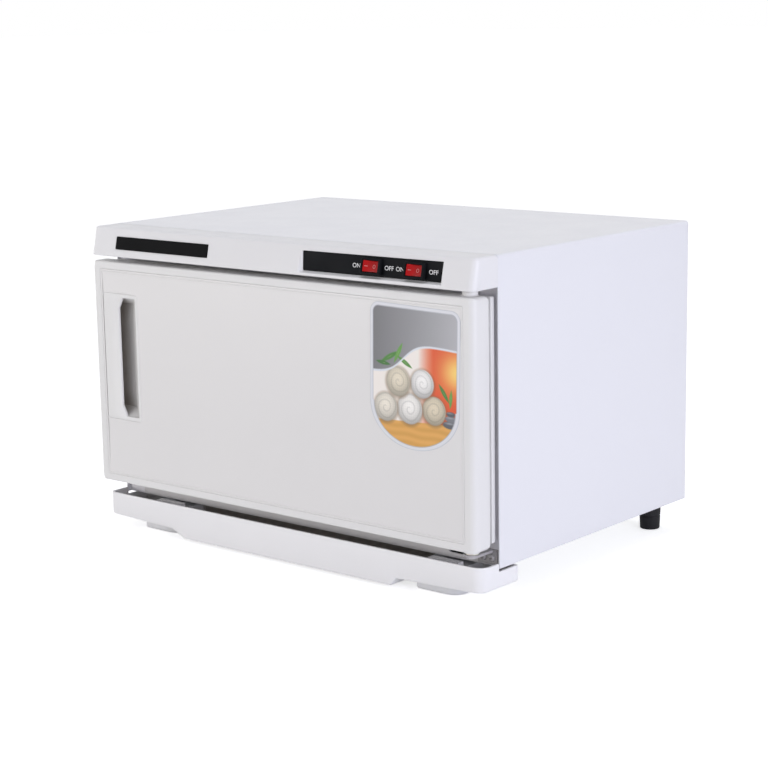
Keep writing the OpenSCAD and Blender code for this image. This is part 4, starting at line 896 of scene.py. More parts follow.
# %% Print ON and OFF
WORDS = (("ON", 100.1), ("OFF", 135.3), ("ON", 146.9), ("OFF", 182.0))
LETTER_HIGH, LETTER_FOOT, WIDENED, INK = 3.7, 11.4, 1.1, 0.04
ink, tree, shader = blank("white_ink")
spots = use(tree, skin, {"Size": 0.0003, "Spread": 0.004})
base = use(tree, tone, {"One": colour(236, 236, 236), "Other": colour(214, 214, 216),
                        "Size": 0.002})[0]
feed(tree, shader, {"Base Color": base,
                    "Roughness": remap(tree, spots["Mottle"], target=(0.35, 0.6))})


def word_shape(text, height):
    """Flat letters of a height in millimetres, their middle at x = 0, as points and faces."""
    words = bpy.data.curves.new(text, "FONT")
    words.body, words.align_x, words.extrude = text, "CENTER", 0.004
    words.offset = 0.01
    holder = stand(text, words)
    mesh = bpy.data.meshes.new_from_object(holder.evaluated_get(
        bpy.context.evaluated_depsgraph_get()))
    points = np.array([v.co for v in mesh.vertices]).reshape(-1, 3)
    faces = [list(f.vertices) for f in mesh.polygons]
    bpy.data.objects.remove(holder)
    return points * height / np.ptp(points[:, 1]), faces


letters = []
for text, middle in WORDS:
    points, faces = word_shape(text, LETTER_HIGH)
    s = points[:, 1] - points[:, 1].min() + LETTER_FOOT
    depth = plate_depth(s) - INK - np.clip(points[:, 2], 0, 1)
    letters.append((on_slope(points[:, 0] * WIDENED + middle, depth, s), faces))
piece("switch_words", together(letters), ink, "cabinet")

# %% [markdown]
# ## Rockers
# A rocker's face is a shallow dish, high at both tips. The section is drawn once, turned by
# half its swing, and carried up the rocker's height; near the ends it shrinks a little, which
# rounds the edges. The dash and the ring are printed on the dish. The bezel round it is a
# stack of rounded rectangles on the leaning face.

# %% Rocker sections and their marks
SWING = math.radians(11)
TIP_X, TIP_Y, RISE = 7.6, 6.577, 5.1
PIVOT = 4.2


def dish(px):
    """Face of the rocker before it turns: rise + (tip - rise) (x / tip)^2, forward is minus."""
    return -(RISE + (TIP_Y - RISE) * (px / TIP_X) ** 2)


def rocker_place(px, py, pz, middle):
    """Turn a section point by half the swing about the pivot, which lies behind the face."""
    x = px * math.cos(SWING) - py * math.sin(SWING) + middle
    depth = px * math.sin(SWING) + py * math.cos(SWING) + PIVOT
    return on_slope(x, depth, pz + MID_S)


def rocker_shape(middle):
    """Section = dish, round tips and tapered skirt; rings go up the height."""
    across = np.linspace(-TIP_X + 0.35, TIP_X - 0.35, 17)
    px = np.concatenate([across, [TIP_X - 0.05, TIP_X, 5.8, 3, -3, -5.8, -TIP_X, -TIP_X + 0.05]])
    py = np.concatenate([dish(across), [-TIP_Y + 0.12, -TIP_Y + 0.5, -3, 4, 4, -3,
                                        -TIP_Y + 0.5, -TIP_Y + 0.12]])
    height = np.array([-4.7, -4.62, -4.4, -4.0, 4.0, 4.4, 4.62, 4.7])
    shrink = np.array([0.45, 0.2, 0.05, 0, 0, 0.05, 0.2, 0.45])
    rings = [rocker_place(px * (1 - k / TIP_X), py * (1 - k / TIP_Y), h, middle)
             for h, k in zip(height, shrink)]
    return loft(rings)


def mark_shapes(middle):
    """The dash is a flat wire, the ring a closed wire, both laid on the dish."""
    dash = np.linspace(-6.2, -3.4, 6)
    line = tube(np.stack([dash, 0 * dash, 0 * dash], -1), 0.22, (0, 0, 1), 8)
    a = np.linspace(0, 2 * np.pi, 28, endpoint=False)
    circle = np.stack([2.6 + 1.15 * np.cos(a), 0 * a, 1.5 * np.sin(a)], -1)
    loop = tube(circle, 0.2, (0, 1, 0), 8, True)
    return [(rocker_place(p[:, 0], dish(p[:, 0]) + 0.25 * p[:, 1] - 0.02, p[:, 2], middle), f)
            for p, f in (line, loop)]


print("a rocker has", len(rocker_shape(0)[0]), "points")


# %% Bezels, and both switches
def slope_ring(depth, x, half_x, half_s, r):
    """A rounded rectangle round x on the switches' middle line, at a depth."""
    a, b, _ = round_frame(-half_x, half_x, -half_s, half_s, r, 4)
    return on_slope(a + x, depth, b + MID_S)


def bezel(middle):
    """Rim of the switch: up the outside, over a rounded edge, down a window that widens."""
    rows = [(1.4, 10.75, 6.75, 1.1), (-1.35, 10.75, 6.75, 1.1), (-1.7, 10.6, 6.6, 1.0),
            (-1.9, 10.2, 6.2, 0.9), (-1.9, 8.5, 5.2, 0.5), (-1.8, 8.3, 5.05, 0.4),
            (-1.2, 8.6, 5.0, 0.4), (-0.6, 8.9, 5.0, 0.4), (1.4, 8.95, 5.0, 0.4)]
    return loft([slope_ring(d, middle, hx, hs, r) for d, hx, hs, r in rows], "loop")


for name, middle in SWITCHES:
    piece(name.replace("rocker", "bezel"), bezel(middle), plate_black, "cabinet")
    piece(name + "_cap", rocker_shape(middle), red, name, [name])
    piece(name + "_marks", together(mark_shapes(middle)), mark_ink, name)

# %% [markdown]
# ## Door label
# The label is a thin film with a square top and a half-round foot. Its picture is worked out
# on a grid of points as a colour attribute: plain shapes with soft edges, each laid over the
# last. It shows what such a label would: rolled towels, leaves and warm light. These are the
# brushes for it.

# %% Soft-edged shapes for the picture
def cover(picture, tint, mask):
    """Lay a tint over the picture where the mask is 1."""
    return picture + (np.asarray(tint, float) / 255 - picture) * mask[..., None]


def step(distance, soft=0.35):
    """Mask: 1 inside, where distance is negative, 0 outside, with a soft edge."""
    return np.clip(0.5 - distance / (2 * soft), 0, 1)


def disc(u, v, cu, cv, ru, rv=None, turn=0.0):
    """Distance to an ellipse, near enough: (length of scaled offset - 1) times its radius."""
    c, s = math.cos(turn), math.sin(turn)
    a, b = (u - cu) * c + (v - cv) * s, (v - cv) * c - (u - cu) * s
    rv = rv or ru
    return (np.hypot(a / ru, b / rv) - 1) * min(ru, rv)


def leaf(u, v, cu, cv, length, width, turn):
    """Lens: two arcs, distance = |across| - width (1 - (along / length)^2)."""
    c, s = math.cos(turn), math.sin(turn)
    a, b = (u - cu) * c + (v - cv) * s, (v - cv) * c - (u - cu) * s
    return np.abs(b) - width * (1 - (a / length) ** 2)


def towel_end(picture, u, v, cu, cv, r, tint):
    """End of a rolled towel: shaded disc with a spiral, angle + distance, as its fold."""
    d = np.hypot(u - cu, v - cv)
    shade = 1 - 0.22 * (d / r) ** 2 + 0.10 * (v - cv) / r
    turn = np.arctan2(v - cv, u - cu) / (2 * np.pi)
    fold = np.abs((d / (r / 2.4) - turn + 0.1 * np.sin(3 * (u + v) / r)) % 1 - 0.5)
    picture = cover(picture, (120, 96, 70), 0.5 * step(disc(u, v, cu, cv - 0.6, r + 1.2), 1.6))
    body = step(d - r)
    inner = np.asarray(tint, float) * np.clip(shade, 0, 1.04)[..., None]
    pile = 0.012 * (np.sin(2.9 * u + np.sin(2.3 * v)) + np.sin(3.1 * v + np.sin(1.9 * u)))
    inner = inner * (1 + pile - 0.13 * step(0.42 - fold, 0.1))[..., None]
    return picture + (inner / 255 - picture) * body[..., None]


print("brushes:", [brush.__name__ for brush in (cover, step, disc, leaf, towel_end)])

# %% [markdown]
# The picture is built from back to front: the grey field above, the warm wall, the table,
# five rolled towels, stones and a spray of leaves, and last the pale wave under the grey.

# %% Paint the label's picture
TOWELS = ((21, 36, 12, (226, 214, 190)), (-4.5, 34.5, 13, (250, 247, 242)),
          (-30, 33, 12.2, (240, 233, 219)), (8.5, 57.0, 12, (251, 249, 246)),
          (-17, 56, 12.4, (233, 223, 202)))
STONES = ((38, 26.5, 8, 3.2, (96, 98, 104)), (38.5, 31.5, 6.2, 2.6, (122, 124, 130)),
          (38.2, 35.6, 4.6, 2.1, (90, 92, 98)))
LEAVES = ((-26, 76, 11, 2.1, 0.5, (78, 132, 62)), (-17, 80, 10, 1.9, 1.1, (104, 158, 76)),
          (-33, 70, 8, 1.7, -0.1, (66, 116, 58)), (-10, 73, 9, 1.8, -0.5, (92, 146, 70)),
          (31, 52, 9, 1.8, 2.2, (78, 132, 62)), (38, 48, 8, 1.6, 1.5, (104, 158, 76)))


def label_picture(u, v):
    """Screen colours at u across from the middle and v up from the foot, in millimetres."""
    fade = np.clip((u + 47) / 94 * 0.75 + (120 - v) / 120 * 0.1, 0, 1)[..., None]
    picture = (1 - fade) * np.array([116, 116, 119]) / 255 + fade * np.array([204, 204, 208]) / 255
    wave = v - (74 + 15 * np.tanh((u + 12) / 16) - 0.05 * (u - 18))
    warm = np.clip((u - 4) / 16, 0, 1)[..., None]
    wall = (1 - warm) * np.array([246, 239, 232]) / 255 + warm * np.array([224, 86, 46]) / 255
    glow = np.exp(-((u - 44) ** 2 + (v - 70) ** 2) / 260)[..., None]
    wall = wall * (1 - glow) + glow * np.array([255, 214, 120]) / 255
    picture = picture * (1 - step(wave)[..., None]) + wall * step(wave)[..., None]
    grain = 6 * np.sin(0.9 * v + 0.5 * np.sin(u / 5))
    table = (np.array([222, 166, 88]) + grain[..., None]) / 255
    below = step(v - 24 - 0.06 * u)[..., None]
    picture = picture * (1 - below) + table * below
    for cu, cv, r, tint in TOWELS:
        picture = towel_end(picture, u, v, cu, cv, r, tint)
    for cu, cv, ru, rv, tint in STONES:
        picture = cover(picture, tint, step(disc(u, v, cu, cv, ru, rv)))
        shine = disc(u, v, cu - 1, cv + rv / 2.4, ru / 2, rv / 4)
        picture = cover(picture, (190, 192, 198), 0.6 * step(shine, 0.6))
    for cu, cv, length, width, turn, tint in LEAVES:
        shape = leaf(u, v, cu, cv, length, width, turn)
        picture = cover(picture, tint, step(shape, 0.3))
        picture = cover(picture, (190, 214, 150), 0.5 * step(shape + width - 0.15, 0.12))
    return cover(picture, (222, 226, 233), step(np.abs(wave) - 0.9))


print("on the label:", len(TOWELS), "towels,", len(STONES), "stones and", len(LEAVES), "leaves")


# %% The label's outline, picture and border
ACROSS, DOWN = 200, 250
HALF_LABEL, TALL, FOOT_TALL, TOP_ROUND = 47.25, 120.8, 37.0, 9.0
FOOT_SCALE = 36
v = TALL * (1 - np.linspace(0, 1, DOWN)[None, :]) + np.zeros((ACROSS, 1))
sunk = 1 - ((FOOT_TALL - v) / FOOT_TALL) ** 2
half = np.where(v < FOOT_TALL, HALF_LABEL * np.sqrt(np.clip(sunk, 1e-6, 1)), HALF_LABEL)
drop = np.clip(v - (TALL - TOP_ROUND), 0, TOP_ROUND)
side = HALF_LABEL - TOP_ROUND
half = np.where(drop > 0, side + np.sqrt(np.clip(TOP_ROUND ** 2 - drop ** 2, 0, None)), half)
u = half * np.linspace(-1, 1, ACROSS)[:, None]
rim_gap = np.minimum(half - np.abs(u), TALL - v)
# On the half-round foot the gap is that of an ellipse, in shares, made millimetres again.
foot_gap = (1 - np.hypot(u / HALF_LABEL, (FOOT_TALL - v) / FOOT_TALL)) * FOOT_SCALE
rim_gap = np.where(v < FOOT_TALL, foot_gap, rim_gap)
rim_gap = np.where((drop > 0) & (np.abs(u) > side),
                   TOP_ROUND - np.hypot(np.abs(u) - side, drop), rim_gap)
picture = label_picture(u, v)
for tint, distance in (((224, 225, 230), rim_gap - 3.2),
                       ((176, 178, 186), np.abs(rim_gap - 3.2) - 0.25),
                       ((196, 198, 204), rim_gap - 0.5)):
    picture = cover(picture, tint, step(distance))
print("picture of", picture.shape[:2], "points, brightest", picture.max().round(3))

# %% [markdown]
# The film is the picture's own grid, laid a quarter of a millimetre before the door and bent
# back at its rim. A copy of the grid on the door's face closes it behind. The colours ride on
# the points, so the print needs no image.

# %% Lay the film on the door
MIDDLE_X, MIDDLE_Z, ABOVE_FOOT, TURN = 163.4, 158.4, 60, math.radians(1.2)
up = v - ABOVE_FOOT
film_y = FACE - 0.25 + 0.2 * np.clip(1 - rim_gap / 0.4, 0, 1)
front = np.stack([u * math.cos(TURN) + up * math.sin(TURN) + MIDDLE_X, film_y,
                  up * math.cos(TURN) - u * math.sin(TURN) + MIDDLE_Z], -1).reshape(-1, 3)
i, j = np.meshgrid(np.arange(ACROSS - 1), np.arange(DOWN - 1), indexing="ij")
cells = np.stack([i * DOWN + j, i * DOWN + j + 1, (i + 1) * DOWN + j + 1, (i + 1) * DOWN + j], -1)
cells = cells.reshape(-1, 4)
grid = np.arange(ACROSS * DOWN).reshape(ACROSS, DOWN)
loop = np.concatenate([grid[:, 0], grid[-1, 1:], grid[-2::-1, -1], grid[0, -2:0:-1]])
ahead = np.roll(loop, -1)
wall = np.stack([loop, ahead, ahead + grid.size, loop + grid.size], -1)
film_back = front * [1, 0, 1] + [0, FACE - 0.01, 0]
film_shape = outward(np.vstack([front, film_back]),
                     np.vstack([cells, cells[:, ::-1] + grid.size, wall]), np.zeros((0, 3), int))

film, tree, shader = blank("printed_film")
print_colour = add(tree, "Attribute", attribute_name="Print")["Color"]
dots = use(tree, skin, {"Size": 0.0005, "Spread": 0.02})
feed(tree, shader, {"Base Color": print_colour, "Specular IOR Level": 0.3,
                    "Roughness": remap(tree, dots["Mottle"], target=(0.27, 0.33)),
                    "Normal": relief(tree, dots["Height"], 0.04)})
label = piece("door_label_film", film_shape, film, "door", ["door_label"])
linear = np.where(picture > 0.04045, ((np.clip(picture, 0, 1) + 0.055) / 1.055) ** 2.4,
                  picture / 12.92)
rgba = np.concatenate([linear, np.ones_like(linear[..., :1])], -1).reshape(-1)
ink_layer = label.data.color_attributes.new("Print", "FLOAT_COLOR", "POINT")
ink_layer.data.foreach_set("color", np.tile(rgba, 2).astype(np.float32))

# %% [markdown]
# ## Drip tray
# The tray is a thin shell that slides out for emptying. It is lofted from end to end, like
# the fascia: one closed section per station, front wall, floor and rear wall with their
# thickness. Formulas in x give the floor its deeper middle well, round the ends, and raise
# two channels that ride over the lugs of the front feet, each with a shoulder at its front.
# The slopes to the well differ left and right, as they do on the real one.

# %% Lines that change along the drip tray
(_, TRAY_FRONT, _), (_, TRAY_REAR, HIGH) = span("drip_tray")
LOW = -2.4
THICK = 2.2
half_x = np.array([0, 40, 80, 110, 124.3, 125.2, 125.8, 127.2, 131.0, 132.2, 140.2, 141.6,
                   144.5, 144.7, 146.3, 146.5, 155.7, 155.9, 167, 175.9, 176.1, 187.5, 187.7,
                   189.3, 189.5, 200, 209, 213, 215.5, 218, 220, 221.6, 222.7, 222.75, 223.8,
                   224.6, HALF_WIDTH])
tray_x = np.concatenate([-half_x[:0:-1], half_x])
reach = np.abs(tray_x)
under = np.interp(tray_x, [-221, -141.6, -140.2, -127.2, -125.2, 124.3, 125.8, 131.0, 132.2, 221],
                  [-17.6, -19.8, -20.3, -26.5, -27.2, -27.2, -26.5, -20.4, -19.9, -17.6])
END_ROUND = 4
run = np.clip(reach - HALF_WIDTH + END_ROUND, 0, END_ROUND)
under = under + END_ROUND - np.sqrt(END_ROUND ** 2 - run ** 2)
inner_floor = under + THICK + np.clip((reach - 219.5) / 3.2, 0, 1) ** 3 * 2
turn = np.where(tray_x < 0, 6.0, 12.0)
bend = np.clip(reach - HALF_WIDTH + turn, 0, turn)
y_front = turn + TRAY_FRONT - np.sqrt(turn ** 2 - bend ** 2)
y_front_in = turn + TRAY_FRONT - np.sqrt(np.clip((turn - THICK) ** 2 - bend ** 2, 0, None))
y_rear = TRAY_REAR - 1 + np.sqrt(1 - np.clip(reach - HALF_WIDTH + 1, 0, 1) ** 2)
y_rear_in = TRAY_REAR - THICK
CHANNEL, HOLLOW = (144.6, 189.4), (146.4, 187.6)
channel = (reach > CHANNEL[0]) & (reach < CHANNEL[1])
hollow = (reach > HOLLOW[0]) & (reach < HOLLOW[1])
ceiling = np.where(hollow, -6.2, under)
ridge = np.where(channel, -4.4, inner_floor)
on_left = (tray_x > -176) & (tray_x < -CHANNEL[0])
on_right = (tray_x > 155.8) & (tray_x < HOLLOW[1])
shoulder = np.where(on_left | on_right, 0.2, inner_floor)
print("tray:", len(tray_x), "stations, deepest floor at", under.min())


# %% Sections of the drip tray
def tray_line(y, z):
    """One long line of the tray: x at the stations, y and z as given at each."""
    return np.stack([tray_x, np.broadcast_to(y, tray_x.shape), np.broadcast_to(z, tray_x.shape)],
                    -1)


outer_lines = [(y_front + 0.4, HIGH - 0.08), (y_front + 0.1, HIGH - 0.35), (y_front, HIGH - 0.8),
               (y_front, under + 2.4), (y_front + 0.5, under + 0.9), (y_front + 1.4, under + 0.2),
               (y_front + 2.6, under), (5.5, under), (5.9, ceiling), (y_rear - 1.6, ceiling),
               (y_rear - 0.4, ceiling + 0.3), (y_rear, ceiling + 1.4), (y_rear, LOW - 0.6),
               (y_rear - 0.3, LOW - 0.1)]
inner_lines = [(y_rear_in + 0.5, LOW), (y_rear_in, LOW - 0.4), (y_rear_in, ridge + 1.0),
               (y_rear_in - 1, ridge), (-0.2, ridge), (-0.5, shoulder), (-7.4, shoulder),
               (-7.8, inner_floor), (y_front_in + 2.4, inner_floor),
               (y_front_in + 0.8, inner_floor + 0.7),
               (y_front_in, inner_floor + 2.2), (y_front_in, HIGH - 0.7),
               (y_front_in - 0.25, HIGH - 0.2), (y_front + 1.1, HIGH)]
end_y = [24.0, 23.0, 20.0, 14.0, 8.0, 3.0, 0.2, -0.58, -0.62, -1.0, -5.0, -9.0, -9.6, -10.2]
end_z = [LOW] * 8 + [HIGH] * 6
# Past this reach the tray is solid: its inner lines come together on a flat end.
closed_end = reach > 222.72
for k, (y, z) in enumerate(inner_lines):
    inner_lines[k] = (np.where(closed_end, np.clip(end_y[k], y_front + 0.45, y_rear - 0.35), y),
                      np.where(closed_end, end_z[k] + 0 * reach, z))
tray = np.stack([tray_line(y, z) for y, z in outer_lines + inner_lines], 1)
tips = tray[[0, -1], :, 2]
tray[[0, -1], :, 2] = np.minimum(tips, np.where(tips > 0, HIGH - 0.4, LOW - 0.3))
tray_skin = piece("drip_tray_skin", loft(tray, "flat"), tray_shaded_moulding, "drip_tray",
                  ["drip_tray"], 28)
# The well's painted shade, a darker tone, rides on the points: full in the well, weak beside it.
well_shade = np.zeros(tray.shape[:2])
well_shade[:, len(outer_lines):-2] = np.where(reach < 143, 1.0, 0.35)[:, None]
well_shade[channel, len(outer_lines) + 3:len(outer_lines) + 7] = 0
shade = tray_skin.data.attributes.new("PaintedWellShade", "FLOAT", "POINT")
shade.data.foreach_set("value", well_shade.reshape(-1).astype(np.float32))

# %% [markdown]
# ## Door gasket
# The gasket is a soft double bulb on a flat foot. Its section is carried round the door by
# moving a rounded rectangle inwards, point by point of the section.

# %% Carry the gasket's section round the door
section = np.array([(0.6, 0.52), (0.3, 0.9), (0.15, 1.6), (0.5, 2.6), (1.3, 3.35), (2.2, 3.6),
                    (3.0, 3.3), (3.5, 2.6), (3.75, 2.0), (4.0, 2.6), (4.6, 3.3), (5.4, 3.6),
                    (6.3, 3.35), (7.05, 2.6), (7.4, 1.6), (7.2, 0.9), (6.9, 0.52)])
gasket_edge = front_of("door_gasket")
gasket_rings = [ring_at(y, *grown(gasket_edge, -n), max(7.6 - n, 0.6), 8) for n, y in section]
piece("door_gasket_bulb", loft(gasket_rings, "loop"), gasket_white, "door", ["door_gasket"],
      50)

# %% [markdown]
# ## Wires
# The towel rack and the lamp guard are bent from wire. A path with arcs at its bends becomes
# a wire by carrying a circle along it. The rack's rim runs round its corners, its cross wires
# lie on the rim with pressed ends, and its legs stand in soft caps.

# %% Towel rack
RIM_X, RIM_FRONT, RIM_REAR, RIM_Z, WIRE = 177, 14, 242, 50.0, 2.0
LEG_X, LEG_FRONT, LEG_REAR = 175.0, 16.0, 240.0
CROSS_WIRES, APART = 19, 17.7
rack = [tube(plan_ring(RIM_Z, -RIM_X, RIM_X, RIM_FRONT, RIM_REAR, 6), WIRE, (0, 0, 1), 14, True)]
along = np.array([12.6, 13.0, 14.0, 16.5, 128, 239.5, 242, 243.0, 243.4])
thick = np.array([0.3, 0.95, 1.15, 1.25, 1.25, 1.25, 1.15, 0.95, 0.3])
sink = np.array([51.35, 51.35, 51.4, 51.6, 51.6, 51.6, 51.4, 51.35, 51.35])
for number in range(1, CROSS_WIRES + 1):
    path = np.stack([np.full(9, APART * number - RIM_X), along, sink], -1)
    rack.append(tube(path, thick, (1, 0, 0), 10))
cap_profile = [(0.01, 38.05), (2.5, 38.05), (3.0, 38.5), (3.1, 44.0), (2.7, 44.4), (2.05, 44.4),
               (0.01, 44.35)]
caps = []
for leg_x in (-LEG_X, LEG_X):
    for leg_y in (LEG_FRONT, LEG_REAR):
        leg = np.stack([np.full(4, leg_x), np.full(4, leg_y), [39.0, 42, 46, 50.5]], -1)
        rack.append(tube(leg, WIRE, (1, 0, 0), 14))
        caps.append(loft(turned(cap_profile, (leg_x, leg_y, 0), "z", 20), "loop"))
piece("towel_rack_wires", together(rack), bright, "cabinet", ["towel_rack"], 60)
piece("towel_rack_feet", together(caps), foot_black, "cabinet")

# %% Lamp guard
a = np.radians(np.linspace(180, 270, 9))
hoop = np.concatenate([[[208, 211.9], [208, 198]],
                       np.stack([222 + 14 * np.cos(a), 184 + 14 * np.sin(a)], -1),
                       [[236, 170], [249.9, 170]]])
guard = [tube(np.column_stack([np.full(len(hoop), x0), hoop]), 1.1, (1, 0, 0), 10)
         for x0 in np.linspace(-164, 164, 9)]
tie_x = np.array([-166.2, -165.9, -165, 0, 165, 165.9, 166.2])
tie_r = np.array([0.3, 0.9, 1.1, 1.1, 1.1, 0.9, 0.3])
for y0, z0 in ((209.8, 198.0), (213.4, 175.4), (236.0, 171.8)):
    guard.append(tube(np.stack([tie_x, np.full(7, y0), np.full(7, z0)], -1), tie_r, (0, 1, 0), 10))
piece("lamp_guard_wires", together(guard), bright, "cabinet", ["lamp_guard"], 60)

# %% [markdown]
# ## Steriliser lamp
# A low-pressure lamp is a clear tube, closed at both ends by a pinch of glass with a small
# coil in front of it. The glass has an inner and an outer wall, so light bends through it as
# it should. All of these are lathe shapes and wires.

# %% Glass tube, pinches and coils
LAMP_Y, LAMP_Z = span("lamp_tube").mean(0)[1:]
COIL_X, COIL_HALF, COIL_TURNS = 119, 2.6, 7
wall = [(7.05, -133.6), (7.05, 133.6), (7.4, 134.4), (7.75, 134.0), (7.75, -134.0), (7.4, -134.4)]
glass_tube = loft(turned(wall, (0, LAMP_Y, LAMP_Z), "x", 40), "loop")
piece("lamp_glass_tube", glass_tube, glass, "cabinet", ["lamp_tube"], 60)
pinch = [(0.01, 131.5), (2.2, 131.6), (3.6, 132.4), (5.2, 134.2), (0.01, 134.3)]
coils = []
for sx in (-1, 1):
    t = np.linspace(0, 2 * np.pi * COIL_TURNS, 99)
    coil = np.stack([sx * COIL_X + 0.8 * np.cos(t), LAMP_Y + 0.8 * np.sin(t),
                     LAMP_Z + COIL_HALF * (2 * t / t[-1] - 1)], -1)
    coils.append(tube(coil, 0.22, (0, 0, 1), 6))
    for end in (-COIL_HALF, COIL_HALF):
        lead = np.array([[sx * (COIL_X + 0.8), LAMP_Y, LAMP_Z + end],
                         [sx * 125, LAMP_Y, LAMP_Z + 0.9 * end],
                         [sx * 134, LAMP_Y, LAMP_Z + 0.7 * end]])
        coils.append(tube(lead, 0.35, (0, 1, 0), 8))
    stem = turned(pinch, (0, 0, 0), "x", 24) * [sx, 0.55, 1] + [0, LAMP_Y, LAMP_Z]
    coils.append(loft(stem, "loop"))
piece("lamp_coils", together(coils), steel, "cabinet")

# %% [markdown]
# ## Screws with a cross
# A screw head is a lathe shape, except for the cross in it. The cross's outline is a radius
# for each angle, so its rings join the round ones point for point.

# %% The shape of a screw
HEAD_R, ARM, HALF_SLOT = 3.2, 1.75, 0.42
key = np.arctan2(HALF_SLOT, ARM)
quarter = np.concatenate([np.linspace(0, key, 4)[:-1], np.linspace(key, np.pi / 4, 4)[:-1],
                          np.linspace(np.pi / 4, np.pi / 2 - key, 4)[:-1],
                          np.linspace(np.pi / 2 - key, np.pi / 2, 4)[:-1]])
angles = np.concatenate([quarter + k * np.pi / 2 for k in range(4)])
arm_c, arm_s = np.maximum(np.abs(np.cos(angles)), 1e-6), np.maximum(np.abs(np.sin(angles)), 1e-6)
cross = np.maximum(np.minimum(ARM / arm_c, HALF_SLOT / arm_s),
                   np.minimum(HALF_SLOT / arm_c, ARM / arm_s))


def screw(place, facing, length):
    """Rings of radius and height along the head's direction; the first four are the cross."""
    rows = [(cross * 0.45, 0.75), (cross * 0.8, 0.95), (cross, 1.72), (cross * 1.04, 1.8),
            (2.1, 1.74), (2.7, 1.5), (3.05, 1.1), (HEAD_R, 0.55), (HEAD_R, 0.0), (1.6, 0.0),
            (1.6, -length + 0.6), (0.9, -length)]
    facing = np.asarray(facing, float)
    one = np.array([1.0, 0, 0])
    two = np.cross(facing, one)
    rings = [place + h * facing + (np.cos(angles) * r)[:, None] * one
             + (np.sin(angles) * r)[:, None] * two for r, h in rows]
    return loft(rings)


print("the cross reaches", cross.max().round(2), "and is", 2 * HALF_SLOT, "wide")

# %% All screws of the cabinet
side_x, high_z = 218.5, 255.1
panel_back = span("back_panel")[1][1]
REAR_FOOT_X, REAR_FOOT_Y, _ = span("rear_foot_right").mean(0)
FRONT_FOOT_X = span("front_foot_right").mean(0)[0]
SOLE = span("rear_foot_right")[0][2]
back_places = [(sx * side_x, z0) for sx in (-1, 1) for z0 in high_z - 25 - 96 * np.arange(3)]
back_places += [(x0, high_z) for x0 in (-135, 0, 135)]
back_set = [screw((x0, panel_back, z0), (0, 1, 0), 6) for x0, z0 in back_places]
piece("back_screw_set", together(back_set), steel, "cabinet", ["back_screws"])
hinge_z = span("hinge_screws")[:, 2] + [HEAD_R, -HEAD_R]
hinge_set = [screw((x0, 2, z0), (0, -1, 0), 7) for x0 in (206.5, 215.5) for z0 in hinge_z]
piece("hinge_screw_set", together(hinge_set), bracket, "cabinet", ["hinge_screws"])
foot_places = [(sx * x0, y0, SOLE + up) for sx in (-1, 1)
               for x0, y0, up in ((REAR_FOOT_X, REAR_FOOT_Y, 10), (FRONT_FOOT_X, 39, 12))]
foot_set = [screw(place, (0, 0, -1), 20) for place in foot_places]
piece("foot_screw_set", together(foot_set), steel, "cabinet", ["foot_screws"])

# %% [markdown]
# ## Cable gland and rear feet
# The gland is a lathe shape whose flange has twelve grips, a small wave on its radius. The
# rear feet are turned rubber with a groove and a pocket for the screw.

# %% Gland and rear feet
GLAND_X, GLAND_Z = -163, 34
gland_profile = [(3.65, -12.0), (3.65, 1.2), (4.1, 1.75), (8.6, 1.75), (9.8, 1.5), (10.1, 1.0),
                 (10.1, 0.05), (7.7, 0.0), (7.7, -11.4), (7.2, -12.0)]
gland = turned(gland_profile, (0, 0, 0), "y", 72)
t = np.linspace(0, 2 * np.pi, 72, endpoint=False)
wave = 1 - 0.02 * (1 - np.cos(12 * t))
gland[:, 4:7, 0] *= wave[:, None]
gland[:, 4:7, 2] *= wave[:, None]
piece("cable_gland_ring", loft(gland + [GLAND_X, panel_back, GLAND_Z], "loop"), black,
      "cabinet", ["cable_gland"])
foot_profile = [(3.5, SOLE), (7.9, SOLE), (8.9, -29.3), (9.3, -28.5), (9.75, -17.6),
                (9.35, -17.2), (9.35, -16.3), (9.85, -15.9), (10.45, 0.6), (10.3, 1.0),
                (1.7, 1.0), (1.7, -19.6), (3.5, -19.6)]
for name, x0 in (("rear_foot_left", -REAR_FOOT_X), ("rear_foot_right", REAR_FOOT_X)):
    piece(name + "_rubber", loft(turned(foot_profile, (x0, REAR_FOOT_Y, 0)), "loop"), foot_black,
          "cabinet", [name])

# %% [markdown]
# ## Front feet
# A front foot is a moulded pad with a screw pocket from below, a lug that stands in the
# tray's channel, and a block behind it that bears the base plate. Each is a stack of flat
# rings, and the pad's outline has one rounder corner.

# %% Front feet: pad, screw pocket, lug and rear block
def foot_pad(side):
    """From the pocket's roof down its wall, over the sole, up the rounded side to the seat."""
    low, high = side * FRONT_FOOT_X - 25, side * FRONT_FOOT_X + 21.5
    hole = np.array([side * FRONT_FOOT_X, 39.0, 0])
    rounds = np.array([[3.4], [3.4], [3.4], [14]])
    rings = []
    for z, inset, wall in ((-17.8, 0, 3.6), (-29.1, 0, 3.6), (SOLE, 0, 4.0), (SOLE, 3.2, 0),
                           (-29.35, 1.9, 0), (-28.7, 0.8, 0), (-27.6, 0.15, 0), (-26.4, 0, 0),
                           (-20.8, 0, 0), (-20.25, 0.25, 0), (-20.1, 0.8, 0)):
        ring = plan_ring(z, low + inset, high - inset, -9 + inset, 47 - inset, rounds - inset)
        if wall:
            away = (ring - hole) * [1, 1, 0]
            ring = hole + away / np.linalg.norm(away, axis=1, keepdims=True) * wall + [0, 0, z]
        rings.append(ring)
    return loft(rings)


